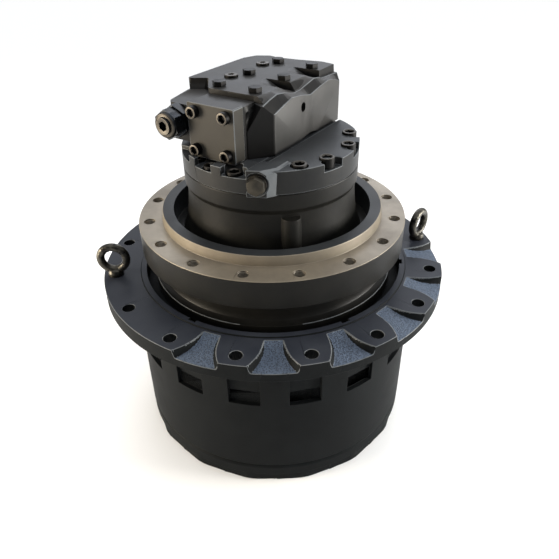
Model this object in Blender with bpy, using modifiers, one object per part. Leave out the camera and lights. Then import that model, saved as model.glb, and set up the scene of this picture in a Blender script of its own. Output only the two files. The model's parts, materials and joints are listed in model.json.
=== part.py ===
import math

import bmesh
import bpy
from mathutils import Matrix, Vector

# Excavator final drive: travel motor, valve block, spindle, drum and a two-stage planetary gear.
# Metres, +Z up the drive axis, origin at the middle of the end cover's bottom face.

# Clearances
GAP = 0.0003            # between pieces that touch
RUN = 0.0012            # between faces that turn past each other
PIN_GAP = 0.0010        # planet bore to pin, roller to race

# Motor case, the size that the fixed castings follow
CASE_R = 0.1460
SKIRT_R = CASE_R + 0.0050
MOTOR_BORE_R = CASE_R - 0.0240
SPIGOT_BORE_R = SKIRT_R + 0.0193
SPIGOT_R = SPIGOT_BORE_R + 0.0197
FRAME_R = SPIGOT_R + 0.0420
FRAME_CIRCLE_R = FRAME_R - 0.0184
FRAME_HOLES = 16
FRAME_HOLE_R = 0.0093
NECK_R = FRAME_R - 0.0320
COLLAR_R = NECK_R + 0.0140

# Floating seal, main bearing and ring nut
SEAL_R = COLLAR_R - 0.0020
SEAL_SEAT_R = SEAL_R - 0.0240
SEAL_H = 0.0160
BEARING_R = SEAL_R - 0.0070
BEARING_BORE_R = BEARING_R - 0.0450
BEARING_H = 0.0850
RACE = 0.0130
ROLLERS = 18
NOSE_R = BEARING_BORE_R - 0.0030
NUT_R = BEARING_BORE_R + 0.0200
NUT_H = 0.0200

# Drum
CAVITY_R = BEARING_R - 0.0015
MOUTH_R = COLLAR_R + 0.0170
PILOT_R = MOUTH_R + 0.0110
PILOT_H = 0.0020
RECESS_INNER_R = PILOT_R + 0.0040
RECESS_DEPTH = 0.0140
DRUM_R = MOUTH_R + 0.0260
FLANGE_R = DRUM_R + 0.0495
FLANGE_H = 0.0290
FLANGE_TOP = 0.3220
SPROCKET_HOLES = 16
SPROCKET_CIRCLE_R = FLANGE_R - 0.0215
SPROCKET_HOLE_R = 0.0105
FIRST_HOLE_AZ = math.radians(169.0)
WINDOW_BOTTOM = 0.1915
WINDOW_MIDDLE = 0.2145
WINDOW_W = 0.0530
WINDOW_DEPTH = 0.0260
WINDOW_SHALLOW = 0.0080

# End cover
COVER_R = DRUM_R
COVER_H = 0.0390
COVER_WALL = 0.0200
COVER_BOLTS = 16
COVER_BOLT_R = COVER_R - 0.0170
COVER_BOLT_SINK = 0.0150
COVER_SCALLOP_R = 0.0165
PLUG_CIRCLE_R = 0.1500
PLUG_R = 0.0160
PLUG_H = 0.0120
PLUG_SINK = 0.0020
THRUST_PAD_R = 0.0300

# Gear train
MODULE = 0.0080
PRESSURE = math.radians(25.0)
RING_TEETH = 48
SUN_1_TEETH = 12
SUN_2_TEETH = 16
PLANETS_1 = 3
PLANETS_2 = 4
BACKLASH = 0.0018       # widening of the ring gear's spaces
STAGE_1_W = 0.0330
STAGE_2_W = 0.0600
SIDE_PLAY = 0.0008
PIN_1_R = 0.0300
PIN_2_R = 0.0280
CARRIER_1_R = 0.1560
CARRIER_1_H = 0.0140
RETAINER_H = 0.0045
SHAFT_R = 0.0170

# Heights of the spindle and the motor case
COLLAR_H = 0.0215
FRAME_TOP = 0.4178
FRAME_H = 0.0488
SPIGOT_TOP = 0.4355
BOWL_FLOOR = 0.3960
SKIRT_TOP = 0.4810
CASE_TOP = 0.5130
MOTOR_FLOOR = 0.3300
FLOOR_H = 0.0340

# Rear cover of the motor
REAR_H = 0.0370
REAR_LOW = 0.0060
NOTCH_DEPTH = 0.0125
CHORD_U = 0.0550
SCREW_CIRCLE_R = CASE_R - 0.0150
POCKET_W = 0.0375
SCREW_R = 0.0120
SCREW_H = 0.0160
SCREW_SINK = 0.0120
BOSS_R = 0.0800
BOSS_H = 0.0090

# Valve block, in its own directions: u to the machined right face, v to the back
BLOCK_AZ = math.radians(56.6)
BLOCK_RIGHT = 0.0460
BLOCK_LEFT = -0.1380
BLOCK_BACK = 0.1560
BLOCK_H = 0.0825
LID_H = 0.0075
SHELF_DROP = 0.0180
PLATE_T = 0.0240
PLATE_W = 0.0870
PLATE_H = 0.0840
PLATE_U = -0.0265
PLATE_FRONT = 0.0280 - CASE_R
BLOCK_FRONT = PLATE_FRONT + 0.0530
PLATE_SCREW_W = 0.0580
PLATE_SCREW_R = 0.0095
PLATE_SCREW_H = 0.0100
SPOOL_R = 0.0160
VALVE_U = PLATE_U - PLATE_W / 2.0 - 0.0270
VALVE_DROP = 0.0420
TOP_BOLT_R = 0.0110
TOP_BOLT_H = 0.0080
BOLT_ROW_A = -0.0620
BOLT_ROW_B = 0.0060
BOLT_V = (-0.0470, 0.0330, 0.1210)

# Motor inside
CYLINDER_R = 0.0780
CYLINDER_H = 0.0820
PISTONS = 9
PISTON_R = 0.0115
PISTON_CIRCLE_R = 0.0560
SWASH_R = 0.0720
SWASH_H = 0.0200
SWASH_TILT = math.radians(8.0)
PORT_PLATE_H = 0.0060
BRAKE_PISTON_H = 0.0300

# Eye bolts
EYE_R = 0.0245
EYE_WIRE = 0.0068
EYE_COLLAR_R = 0.0175
EYE_COLLAR_H = 0.0080

# Heights that follow from the sizes above
DRUM_BOTTOM = COVER_H + GAP
STAGE_1_Z = COVER_H + 0.0085
STAGE_1_TOP = STAGE_1_Z + STAGE_1_W
CARRIER_1_Z = STAGE_1_TOP + SIDE_PLAY
CARRIER_1_TOP = CARRIER_1_Z + CARRIER_1_H
RETAINER_Z = CARRIER_1_TOP + SIDE_PLAY
STAGE_2_Z = RETAINER_Z + RETAINER_H + SIDE_PLAY
STAGE_2_TOP = STAGE_2_Z + STAGE_2_W
NOSE_Z = STAGE_2_TOP + SIDE_PLAY
BEARING_Z = NOSE_Z + 0.0130 + NUT_H
BEARING_TOP = BEARING_Z + BEARING_H
SEAL_Z = BEARING_TOP + 0.0040
SEAL_TOP = SEAL_Z + SEAL_H
COLLAR_Z = SEAL_TOP + GAP
COLLAR_TOP = COLLAR_Z + COLLAR_H
REAR_Z = CASE_TOP + GAP
REAR_TOP = REAR_Z + REAR_H
BLOCK_Z = REAR_TOP - REAR_LOW + GAP
BLOCK_TOP = BLOCK_Z + BLOCK_H
LID_TOP = BLOCK_TOP + LID_H
PLATE_TOP = BLOCK_TOP + 0.0010
PLATE_MID = PLATE_TOP - PLATE_H / 2.0
VALVE_Z = LID_TOP - VALVE_DROP
PORT_Z = REAR_Z - BOSS_H - GAP
CYLINDER_TOP = PORT_Z - PORT_PLATE_H - GAP
CYLINDER_Z = CYLINDER_TOP - CYLINDER_H
SWASH_Z = MOTOR_FLOOR + 0.0360
SHOE_Z = SWASH_Z + SWASH_H / 2.0 + SWASH_R * math.sin(math.radians(15.5)) + 0.0012
RING_PITCH_R = MODULE * RING_TEETH / 2.0
PLANET_1_TEETH = (RING_TEETH - SUN_1_TEETH) // 2
PLANET_2_TEETH = (RING_TEETH - SUN_2_TEETH) // 2
CENTRE_1 = MODULE * (SUN_1_TEETH + PLANET_1_TEETH) / 2.0
CENTRE_2 = MODULE * (SUN_2_TEETH + PLANET_2_TEETH) / 2.0
ROOT_R = RING_PITCH_R + 1.25 * MODULE

for old in list(bpy.data.objects):
    bpy.data.objects.remove(old)

PARTS = bpy.data.collections.new("final_drive")
CUTTERS = bpy.data.collections.new("cutters")
bpy.context.scene.collection.children.link(PARTS)
bpy.context.scene.collection.children.link(CUTTERS)

E_R = Vector((math.cos(BLOCK_AZ - math.pi / 2), math.sin(BLOCK_AZ - math.pi / 2), 0.0))
E_B = Vector((math.cos(BLOCK_AZ), math.sin(BLOCK_AZ), 0.0))
BLOCK_FRAME = Matrix.Rotation(BLOCK_AZ - math.pi / 2, 4, "Z")


def paint(name, colour, roughness, metallic):
    """Principled material from an sRGB colour."""
    mat = bpy.data.materials.new(name)
    mat.use_nodes = True
    node = mat.node_tree.nodes["Principled BSDF"]
    linear = [((c / 255.0 + 0.055) / 1.055) ** 2.4 if c > 10 else c / 255.0 / 12.92 for c in colour]
    node.inputs["Base Color"].default_value = (*linear, 1.0)
    node.inputs["Roughness"].default_value = roughness
    node.inputs["Metallic"].default_value = metallic
    mat.diffuse_color = (*linear, 1.0)
    return mat


def dress(obj, colour, roughness, metallic, angle=35.0):
    """Own material and smooth round faces."""
    mesh = obj.data
    mesh.materials.clear()
    mesh.materials.append(paint(obj.name, colour, roughness, metallic))
    mesh.shade_smooth()
    mesh.set_sharp_from_angle(angle=math.radians(angle))
    return obj


BLACK = ((45, 46, 47), 0.45, 0.0)
CAST = ((50, 54, 60), 0.55, 0.0)
STEEL = ((120, 118, 112), 0.35, 1.0)
DARK_STEEL = ((40, 41, 44), 0.3, 0.9)
GEAR = ((134, 132, 128), 0.3, 1.0)
BRONZE = ((150, 118, 72), 0.4, 1.0)


def add(name, mesh, where=PARTS):
    """Object for a mesh; a cutter is drawn as wire and left out of renders."""
    obj = bpy.data.objects.new(name, mesh)
    where.objects.link(obj)
    if where is CUTTERS:
        obj.hide_render = True
        obj.display_type = "WIRE"
    return obj


def turned(name, profile, closed, steps=36, where=PARTS):
    """Profile (radius, height), top to bottom on the outer side, turned about Z."""
    mesh = bpy.data.meshes.new(name)
    work = bmesh.new()
    points = [work.verts.new((r, 0.0, z)) for r, z in profile]
    for a, b in zip(points, points[1:]):
        work.edges.new((a, b))
    if closed:
        work.edges.new((points[-1], points[0]))
    work.to_mesh(mesh)
    work.free()
    obj = add(name, mesh, where)
    screw = obj.modifiers.new("turn", "SCREW")
    screw.steps = steps
    screw.render_steps = steps
    screw.use_merge_vertices = True
    screw.merge_threshold = 0.00001
    return obj


def settle(obj):
    """Keep the evaluated mesh and drop the modifiers, for pieces that later steps move or share."""
    graph = bpy.context.evaluated_depsgraph_get()
    mesh = bpy.data.meshes.new_from_object(obj.evaluated_get(graph))
    obj.modifiers.clear()
    obj.data = mesh
    return obj


def rods(name, places, radius, z0, z1, sides=16, where=CUTTERS, turn=0.0):
    """Upright cylinders at several (x, y) places, in one mesh."""
    mesh = bpy.data.meshes.new(name)
    work = bmesh.new()
    for x, y in places:
        move = Matrix.Translation((x, y, (z0 + z1) / 2.0)) @ Matrix.Rotation(turn, 4, "Z")
        bmesh.ops.create_cone(work, cap_ends=True, segments=sides, radius1=radius, radius2=radius,
                              depth=z1 - z0, matrix=move)
    work.to_mesh(mesh)
    work.free()
    return add(name, mesh, where)


def boxes(name, blocks, where=CUTTERS):
    """Boxes given as (centre, size, turn about Z), in one mesh."""
    mesh = bpy.data.meshes.new(name)
    work = bmesh.new()
    for centre, size, turn in blocks:
        move = Matrix.Translation(centre) @ Matrix.Rotation(turn, 4, "Z") @ Matrix.Diagonal((*size, 1.0))
        bmesh.ops.create_cube(work, size=1.0, matrix=move)
    work.to_mesh(mesh)
    work.free()
    return add(name, mesh, where)


def outline(name, loops, z0, z1, where=PARTS):
    """Flat outlines, the first one filled and the others holes, raised from z0 to z1."""
    curve = bpy.data.curves.new(name, "CURVE")
    curve.dimensions = "2D"
    curve.fill_mode = "BOTH"
    curve.extrude = (z1 - z0) / 2.0
    for loop in loops:
        spline = curve.splines.new("POLY")
        spline.points.add(len(loop) - 1)
        for point, (x, y) in zip(spline.points, loop):
            point.co = (x, y, 0.0, 1.0)
        spline.use_cyclic_u = True
    drawn = bpy.data.objects.new(name + "_outline", curve)
    CUTTERS.objects.link(drawn)
    graph = bpy.context.evaluated_depsgraph_get()
    mesh = bpy.data.meshes.new_from_object(drawn.evaluated_get(graph))
    bpy.data.objects.remove(drawn)
    work = bmesh.new()
    work.from_mesh(mesh)
    bmesh.ops.remove_doubles(work, verts=work.verts, dist=0.000001)
    bmesh.ops.translate(work, verts=work.verts, vec=(0.0, 0.0, (z0 + z1) / 2.0))
    bmesh.ops.recalc_face_normals(work, faces=work.faces)
    work.to_mesh(mesh)
    work.free()
    mesh.name = name
    return add(name, mesh, where)


def combine(obj, other, operation="DIFFERENCE"):
    """Boolean with another object, which is then kept as a cutter."""
    step = obj.modifiers.new(operation.lower(), "BOOLEAN")
    step.operation = operation
    step.object = other
    step.solver = "EXACT"
    if other.name in PARTS.objects:
        PARTS.objects.unlink(other)
        CUTTERS.objects.link(other)
    other.hide_render = True
    other.display_type = "WIRE"
    return obj


def ring_of(count, radius, first=0.0):
    """Places round the axis."""
    return [(radius * math.cos(first + 2 * math.pi * k / count), radius * math.sin(first + 2 * math.pi * k / count))
            for k in range(count)]


def circle(radius, sides, cx=0.0, cy=0.0, turn=0.0):
    """Points of a circle."""
    return [(cx + radius * math.cos(turn + 2 * math.pi * k / sides), cy + radius * math.sin(turn + 2 * math.pi * k / sides))
            for k in range(sides)]


def local(u, v, z=0.0):
    """World place of a point given in the valve block's directions."""
    return E_R * u + E_B * v + Vector((0.0, 0.0, z))


def involute(angle):
    return math.tan(angle) - angle


def gear_outline(teeth, tip, root, thinner):
    """Involute teeth round the origin, the first one centred on +X."""
    pitch = MODULE * teeth / 2.0
    base = pitch * math.cos(PRESSURE)
    half = math.pi / (2.0 * teeth) - thinner / (2.0 * pitch)

    def half_angle(radius):
        if radius <= base:
            return half + involute(PRESSURE)
        return half + involute(PRESSURE) - involute(math.acos(base / radius))

    points = []
    for k in range(teeth):
        centre = 2.0 * math.pi * k / teeth
        for radius, side in ((root, -1), (tip, -1), (tip, 1), (root, 1)):
            points.append((radius, centre + side * half_angle(radius)))
    return [(r * math.cos(a), r * math.sin(a)) for r, a in points]


def turn_points(points, angle):
    c, s = math.cos(angle), math.sin(angle)
    return [(c * x - s * y, s * x + c * y) for x, y in points]


def gear(name, teeth, bore, z0, z1, centre, phase):
    """External gear with its origin on its own axis."""
    pitch = MODULE * teeth / 2.0
    teeth_line = gear_outline(teeth, pitch + MODULE * 0.95, pitch - 1.25 * MODULE, 0.0)
    body = outline(name, [turn_points(teeth_line, phase), circle(bore, 16)], z0, z1)
    body.location = (centre[0], centre[1], 0.0)
    return dress(body, *GEAR, angle=30.0)


# End cover: dished disc with a scallop for each bolt head and a thrust pad for the shaft
spigot_r = RING_PITCH_R - MODULE - 0.0020
spigot_in = spigot_r - 0.0120
spigot_top = COVER_H + 0.0040
cover = turned("end_cover", [
    (0.0, STAGE_1_Z - GAP), (THRUST_PAD_R, STAGE_1_Z - GAP), (THRUST_PAD_R, COVER_WALL), (spigot_in, COVER_WALL),
    (spigot_in, spigot_top), (spigot_r, spigot_top), (spigot_r, COVER_H), (COVER_R, COVER_H),
    (COVER_R, 0.0), (0.0, 0.0)], False)
bolt_places = ring_of(COVER_BOLTS, COVER_BOLT_R, FIRST_HOLE_AZ + math.pi / COVER_BOLTS)
plug_places = ring_of(3, PLUG_CIRCLE_R, math.radians(90.0))
combine(cover, rods("cover_scallops", bolt_places, COVER_SCALLOP_R, -0.01, COVER_BOLT_SINK, 8))
combine(cover, rods("plug_holes", plug_places, PLUG_R + GAP, -0.01, COVER_WALL + 0.01, 12))
dress(cover, *BLACK)

for k, (x, y) in enumerate(plug_places):
    plug = rods("cover_plug_%d" % (k + 1), [(0.0, 0.0)], PLUG_R, 0.0, PLUG_H, 12, PARTS)
    combine(plug, rods("plug_socket_%d" % (k + 1), [(x, y)], 0.0065, PLUG_SINK - 0.01, PLUG_SINK + 0.007, 6))
    plug.location = (x, y, PLUG_SINK)
    dress(plug, *DARK_STEEL)

# Drum: sprocket flange with cast recesses, window pockets and the internal ring gear
flange_bottom = FLANGE_TOP - FLANGE_H
ring_tip = RING_PITCH_R - 0.95 * MODULE
ring_top = STAGE_2_TOP + 0.0020
bearing_ledge = SEAL_Z - GAP
mouth_floor = SEAL_TOP - 2 * RUN
drum = turned("drum_housing", [
    (MOUTH_R, FLANGE_TOP + PILOT_H), (PILOT_R, FLANGE_TOP + PILOT_H), (PILOT_R, FLANGE_TOP),
    (FLANGE_R, FLANGE_TOP), (FLANGE_R, flange_bottom), (DRUM_R, flange_bottom), (DRUM_R, DRUM_BOTTOM),
    (ring_tip, DRUM_BOTTOM), (ring_tip, ring_top), (CAVITY_R, ring_top + 0.002),
    (CAVITY_R, BEARING_Z - GAP), (BEARING_R + GAP, BEARING_Z - GAP), (BEARING_R + GAP, bearing_ledge),
    (SEAL_R + GAP, bearing_ledge), (SEAL_R + GAP, mouth_floor), (MOUTH_R, mouth_floor)], True)

ring_spaces = gear_outline(RING_TEETH, ROOT_R, ring_tip - 0.0020, -BACKLASH)
combine(drum, outline("ring_gear_spaces", [ring_spaces], DRUM_BOTTOM - 0.01, ring_top + 0.003, CUTTERS))

hole_places = ring_of(SPROCKET_HOLES, SPROCKET_CIRCLE_R, FIRST_HOLE_AZ)
combine(drum, rods("sprocket_holes", hole_places, SPROCKET_HOLE_R, flange_bottom - 0.01, FLANGE_TOP + 0.01, 8))


def recess_outline(azimuth, inner_half=0.0170, outer_half=0.0380, curve=2.2):
    """Cast recess between two pads: narrow inside, its sides sweeping out to the rim."""
    outer = FLANGE_R + 0.0040
    side = []
    for k in range(4):
        t = k / 3.0
        side.append((RECESS_INNER_R + t * (outer - RECESS_INNER_R), inner_half + (outer_half - inner_half) * t ** curve))
    loop = [(r, -w) for r, w in side] + [(r, w) for r, w in reversed(side)]
    return turn_points(loop, azimuth)


step = 2 * math.pi / SPROCKET_HOLES
for k in range(3, 9):
    azimuth = FIRST_HOLE_AZ + step * (k + 0.5)
    recess = outline("flange_recess_%d" % (k - 2), [recess_outline(azimuth)], FLANGE_TOP - RECESS_DEPTH,
                     FLANGE_TOP + 0.01, CUTTERS)
    outwards = Vector((math.cos(azimuth), math.sin(azimuth), 0.0))
    for vert in recess.data.vertices:
        if vert.co.z < FLANGE_TOP:
            fall = (vert.co.dot(outwards) - RECESS_INNER_R) / (FLANGE_R - RECESS_INNER_R)
            vert.co.z = FLANGE_TOP - 0.0004 - fall * (RECESS_DEPTH - 0.0004)
    combine(drum, recess)

window_top = flange_bottom - 0.004
for name, depth, width, low, high in (("drum_windows", WINDOW_SHALLOW, WINDOW_W, WINDOW_BOTTOM, window_top),
                                      ("drum_window_pockets", WINDOW_DEPTH, WINDOW_W - 0.0010,
                                       WINDOW_BOTTOM + 0.0005, WINDOW_MIDDLE)):
    windows = []
    for k, (x, y) in enumerate(ring_of(SPROCKET_HOLES, DRUM_R - depth / 2.0 + 0.010, FIRST_HOLE_AZ)):
        windows.append(((x, y, (low + high) / 2.0), (depth + 0.020, width, high - low), FIRST_HOLE_AZ + step * k))
    combine(drum, boxes(name, windows))
notches = []
for azimuth in (52.0, 124.0, 172.0, 237.0, 299.0, 352.0):
    a = math.radians(azimuth)
    notches.append(((MOUTH_R * math.cos(a), MOUTH_R * math.sin(a), FLANGE_TOP), (0.009, 0.014, 0.020), a))
combine(drum, boxes("mouth_notches", notches))
dress(drum, *CAST)

# Spindle: frame flange, motor case, bearing seat and the four fixed pins of the second stage
nose_bore = 0.0400
seal_seat = SEAL_SEAT_R
lower_bore = MOTOR_BORE_R - 0.0180
disc_r = MOTOR_BORE_R - 0.0100
disc_h = 0.0070
shoulder_z = CYLINDER_Z + 0.0280
shaft_seat = 0.0220
shaft_bearing_r = 0.0450
frame_bottom = FRAME_TOP - FRAME_H
floor_bottom = MOTOR_FLOOR - FLOOR_H
retainer_top = RETAINER_Z + RETAINER_H
spindle = turned("spindle_housing", [
    (MOTOR_BORE_R, CASE_TOP), (CASE_R, CASE_TOP), (CASE_R, SKIRT_TOP), (CASE_R - 0.0025, SKIRT_TOP - 0.0015),
    (SKIRT_R, BOWL_FLOOR), (SPIGOT_BORE_R, BOWL_FLOOR), (SPIGOT_BORE_R, SPIGOT_TOP), (SPIGOT_R, SPIGOT_TOP),
    (SPIGOT_R, FRAME_TOP), (FRAME_R, FRAME_TOP), (FRAME_R, frame_bottom), (NECK_R, frame_bottom),
    (NECK_R, COLLAR_TOP), (COLLAR_R, COLLAR_TOP),
    (COLLAR_R, COLLAR_Z), (seal_seat, COLLAR_Z), (seal_seat, BEARING_TOP + GAP),
    (BEARING_BORE_R, BEARING_TOP + GAP), (BEARING_BORE_R, BEARING_Z + 0.003), (NOSE_R, BEARING_Z + 0.003),
    (NOSE_R, NOSE_Z), (nose_bore, NOSE_Z), (nose_bore, floor_bottom + 0.006),
    (shaft_bearing_r + GAP, floor_bottom + 0.006), (shaft_bearing_r + GAP, MOTOR_FLOOR), (lower_bore, MOTOR_FLOOR),
    (lower_bore, shoulder_z), (MOTOR_BORE_R, shoulder_z)], True)
pin_places_2 = ring_of(PLANETS_2, CENTRE_2, math.radians(45.0))
combine(spindle, rods("fixed_pins", pin_places_2, PIN_2_R, retainer_top + GAP, NOSE_Z + 0.004, 16), "UNION")
combine(spindle, rods("frame_holes", ring_of(FRAME_HOLES, FRAME_CIRCLE_R, math.radians(168.5)), FRAME_HOLE_R,
                      frame_bottom - 0.01, FRAME_TOP + 0.01, 8))
boss_az = math.radians(282.4)
boss_r = CASE_R - 0.0040
boss_place = (boss_r * math.cos(boss_az), boss_r * math.sin(boss_az))
combine(spindle, rods("skirt_boss", [boss_place], 0.0165, BOWL_FLOOR - 0.002, SKIRT_TOP - 0.007, 16), "UNION")
dress(spindle, *BLACK)

# Main bearing: two rows of rollers between an inner and an outer ring
inner_race = BEARING_BORE_R + RACE
outer_race = BEARING_R - RACE
row_gap = 0.0040
row_h = (BEARING_H - row_gap) / 2.0 - 0.0050
inner_ring = turned("bearing_inner_ring", [
    (BEARING_BORE_R + GAP, BEARING_TOP), (inner_race, BEARING_TOP), (inner_race, BEARING_Z),
    (BEARING_BORE_R + GAP, BEARING_Z)], True)
dress(inner_ring, *STEEL)
outer_ring = turned("bearing_outer_ring", [
    (outer_race, BEARING_TOP), (BEARING_R, BEARING_TOP), (BEARING_R, BEARING_Z), (outer_race, BEARING_Z)], True)
dress(outer_ring, *STEEL)


def roller_row(name, z0, z1):
    """Rollers held by their cage, as one lobed ring."""
    low = inner_race + PIN_GAP
    high = outer_race - PIN_GAP
    cage = (low + high) / 2.0
    outside = []
    inside = []
    pitch = 2 * math.pi / ROLLERS
    for k in range(ROLLERS):
        a = pitch * k
        for r, d in ((high, -0.028), (high, 0.028), (cage + 0.003, 0.5 * pitch)):
            outside.append((r * math.cos(a + d), r * math.sin(a + d)))
        for r, d in ((low, -0.028), (low, 0.028), (cage - 0.003, 0.5 * pitch)):
            inside.append((r * math.cos(a + d), r * math.sin(a + d)))
    return dress(outline(name, [outside, inside], z0, z1), *STEEL)


roller_row("roller_row_lower", BEARING_Z + 0.005, BEARING_Z + 0.005 + row_h)
roller_row("roller_row_upper", BEARING_TOP - 0.005 - row_h, BEARING_TOP - 0.005)

nut = turned("ring_nut", [
    (NOSE_R + GAP, BEARING_Z - GAP), (NUT_R, BEARING_Z - GAP), (NUT_R, BEARING_Z - GAP - NUT_H),
    (NOSE_R + GAP, BEARING_Z - GAP - NUT_H)], True)
slots = []
for k, (x, y) in enumerate(ring_of(4, NUT_R, 0.0)):
    slots.append(((x, y, BEARING_Z - NUT_H), (0.012, 0.014, 0.020), math.pi * k / 2.0))
combine(nut, boxes("nut_slots", slots))
dress(nut, *STEEL)

# Floating seal: two lapped rings, one on the spindle collar and one in the drum
seal_mid = (SEAL_Z + SEAL_TOP) / 2.0
seal_fixed = turned("seal_ring_fixed", [
    (seal_seat + GAP, SEAL_TOP), (SEAL_R - 0.006, SEAL_TOP), (SEAL_R - 0.009, seal_mid + GAP / 2),
    (seal_seat + GAP, seal_mid + GAP / 2)], True)
dress(seal_fixed, *STEEL)
seal_turning = turned("seal_ring_turning", [
    (seal_seat + 0.009, seal_mid - GAP / 2), (SEAL_R, seal_mid - GAP / 2), (SEAL_R, SEAL_Z),
    (seal_seat + 0.006, SEAL_Z)], True)
dress(seal_turning, *STEEL)

# Gear train
RING_SPACE = RING_TEETH / (2 * math.pi)


def planet_phase(azimuth, teeth):
    """Turn of a planet whose outer tooth sits in a ring gear space."""
    return azimuth - (2 * math.pi / teeth) * ((azimuth * RING_SPACE) % 1.0)


def sun_phase(azimuth, planet_teeth, sun_teeth):
    """Turn of a sun that meshes with the planet at this azimuth."""
    planet = (azimuth + math.pi - planet_phase(azimuth, planet_teeth)) * planet_teeth / (2 * math.pi)
    return azimuth - (2 * math.pi / sun_teeth) * (0.5 - planet)


pin_places_1 = ring_of(PLANETS_1, CENTRE_1, math.radians(90.0))
for k, (x, y) in enumerate(pin_places_1):
    azimuth = math.radians(90.0) + 2 * math.pi * k / PLANETS_1
    gear("planet_1_%d" % (k + 1), PLANET_1_TEETH, PIN_1_R + PIN_GAP, STAGE_1_Z, STAGE_1_TOP, (x, y),
         planet_phase(azimuth, PLANET_1_TEETH))
for k, (x, y) in enumerate(pin_places_2):
    azimuth = math.radians(45.0) + 2 * math.pi * k / PLANETS_2
    gear("planet_2_%d" % (k + 1), PLANET_2_TEETH, PIN_2_R + PIN_GAP, STAGE_2_Z, STAGE_2_TOP, (x, y),
         planet_phase(azimuth, PLANET_2_TEETH))
gear("sun_gear_1", SUN_1_TEETH, SHAFT_R + GAP, STAGE_1_Z, STAGE_1_TOP, (0.0, 0.0),
     sun_phase(math.radians(90.0), PLANET_1_TEETH, SUN_1_TEETH))
hub_r = 0.0420
hub_bore = SHAFT_R + 0.0060
sun_2 = gear("sun_gear_2", SUN_2_TEETH, SHAFT_R + 0.0050, STAGE_2_Z, STAGE_2_TOP, (0.0, 0.0),
             sun_phase(math.radians(45.0), PLANET_2_TEETH, SUN_2_TEETH))
combine(sun_2, turned("sun_2_hub", [
    (hub_bore, STAGE_2_Z + 0.004), (hub_r, STAGE_2_Z + 0.004), (hub_r, CARRIER_1_Z), (hub_bore, CARRIER_1_Z)],
    True, 20, CUTTERS), "UNION")
carrier = outline("carrier_1", [circle(CARRIER_1_R, 36), circle(hub_r + GAP, 20)], CARRIER_1_Z, CARRIER_1_TOP)
combine(carrier, rods("carrier_1_pins", pin_places_1, PIN_1_R, STAGE_1_Z - 0.001, CARRIER_1_Z + 0.004, 16), "UNION")
combine(carrier, rods("carrier_1_pin_heads", pin_places_1, PIN_1_R + 0.005, STAGE_1_Z - SIDE_PLAY - 0.004,
                      STAGE_1_Z - SIDE_PLAY, 10), "UNION")
dress(carrier, *STEEL)
retainer = outline("planet_retainer", [circle(CENTRE_2 + 0.0220, 32), circle(CENTRE_2 - 0.0500, 24)], RETAINER_Z, retainer_top)
dress(retainer, *STEEL)

# Motor inside the case: shaft, cylinder block with its pistons, swash plate, port plate, parking brake piston
shaft_top = REAR_Z + 0.0060
shaft = turned("motor_shaft", [
    (0.0, shaft_top), (0.014, shaft_top), (0.014, CYLINDER_TOP + 0.001), (0.019, CYLINDER_TOP + 0.001),
    (0.019, CYLINDER_Z - 0.010), (shaft_seat, CYLINDER_Z - 0.010), (shaft_seat, floor_bottom + 0.004),
    (SHAFT_R, floor_bottom + 0.004), (SHAFT_R, STAGE_1_Z), (0.0, STAGE_1_Z)], False, 16)
dress(shaft, *STEEL)
shaft_bearing = turned("shaft_bearing", [
    (shaft_seat + 0.0005, MOTOR_FLOOR - 0.004), (shaft_bearing_r, MOTOR_FLOOR - 0.004),
    (shaft_bearing_r, floor_bottom + 0.006 + GAP), (shaft_seat + 0.0005, floor_bottom + 0.006 + GAP)], True, 40)
dress(shaft_bearing, *STEEL)
disc_z = shoulder_z + 0.0008
block = turned("cylinder_block", [
    (0.0193, CYLINDER_TOP), (CYLINDER_R, CYLINDER_TOP), (CYLINDER_R, disc_z + disc_h), (disc_r, disc_z + disc_h),
    (disc_r, disc_z), (CYLINDER_R, disc_z), (CYLINDER_R, CYLINDER_Z), (0.0193, CYLINDER_Z)], True, 24)
piston_places = ring_of(PISTONS, PISTON_CIRCLE_R, 0.0)
combine(block, rods("pistons", piston_places, PISTON_R, SHOE_Z + 0.004, CYLINDER_Z + 0.004, 8), "UNION")
combine(block, turned("shoe_plate", [
    (0.0300, SHOE_Z + 0.006), (0.0720, SHOE_Z + 0.006), (0.0720, SHOE_Z), (0.0300, SHOE_Z)], True, 24, CUTTERS), "UNION")
dress(block, *BRONZE)

swash = turned("swash_plate", [
    (0.0340, SWASH_H / 2), (SWASH_R, SWASH_H / 2), (SWASH_R, -SWASH_H / 2), (0.0340, -SWASH_H / 2)], True, 24)
trunnion = bpy.data.meshes.new("trunnions")
work = bmesh.new()
for side in (-1.0, 1.0):
    reach = lower_bore - RUN
    move = (Matrix.Translation((side * (reach + 0.050) / 2.0, 0.0, 0.0)) @ Matrix.Rotation(math.pi / 2, 4, "Y"))
    bmesh.ops.create_cone(work, cap_ends=True, segments=12, radius1=0.0090, radius2=0.0090, depth=reach - 0.050,
                          matrix=move)
work.to_mesh(trunnion)
work.free()
combine(swash, add("swash_trunnions", trunnion), "UNION")
settle(swash)
swash.data.transform(BLOCK_FRAME @ Matrix.Rotation(SWASH_TILT, 4, "X"))
swash.location = (0.0, 0.0, SWASH_Z)
dress(swash, *STEEL)


def kidney(radius, half, start, end, count=4):
    """Curved slot round the axis."""
    outer = [(radius + half, start + (end - start) * k / count) for k in range(count + 1)]
    inner = [(radius - half, end - (end - start) * k / count) for k in range(count + 1)]
    return [(r * math.cos(a), r * math.sin(a)) for r, a in outer + inner]


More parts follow.
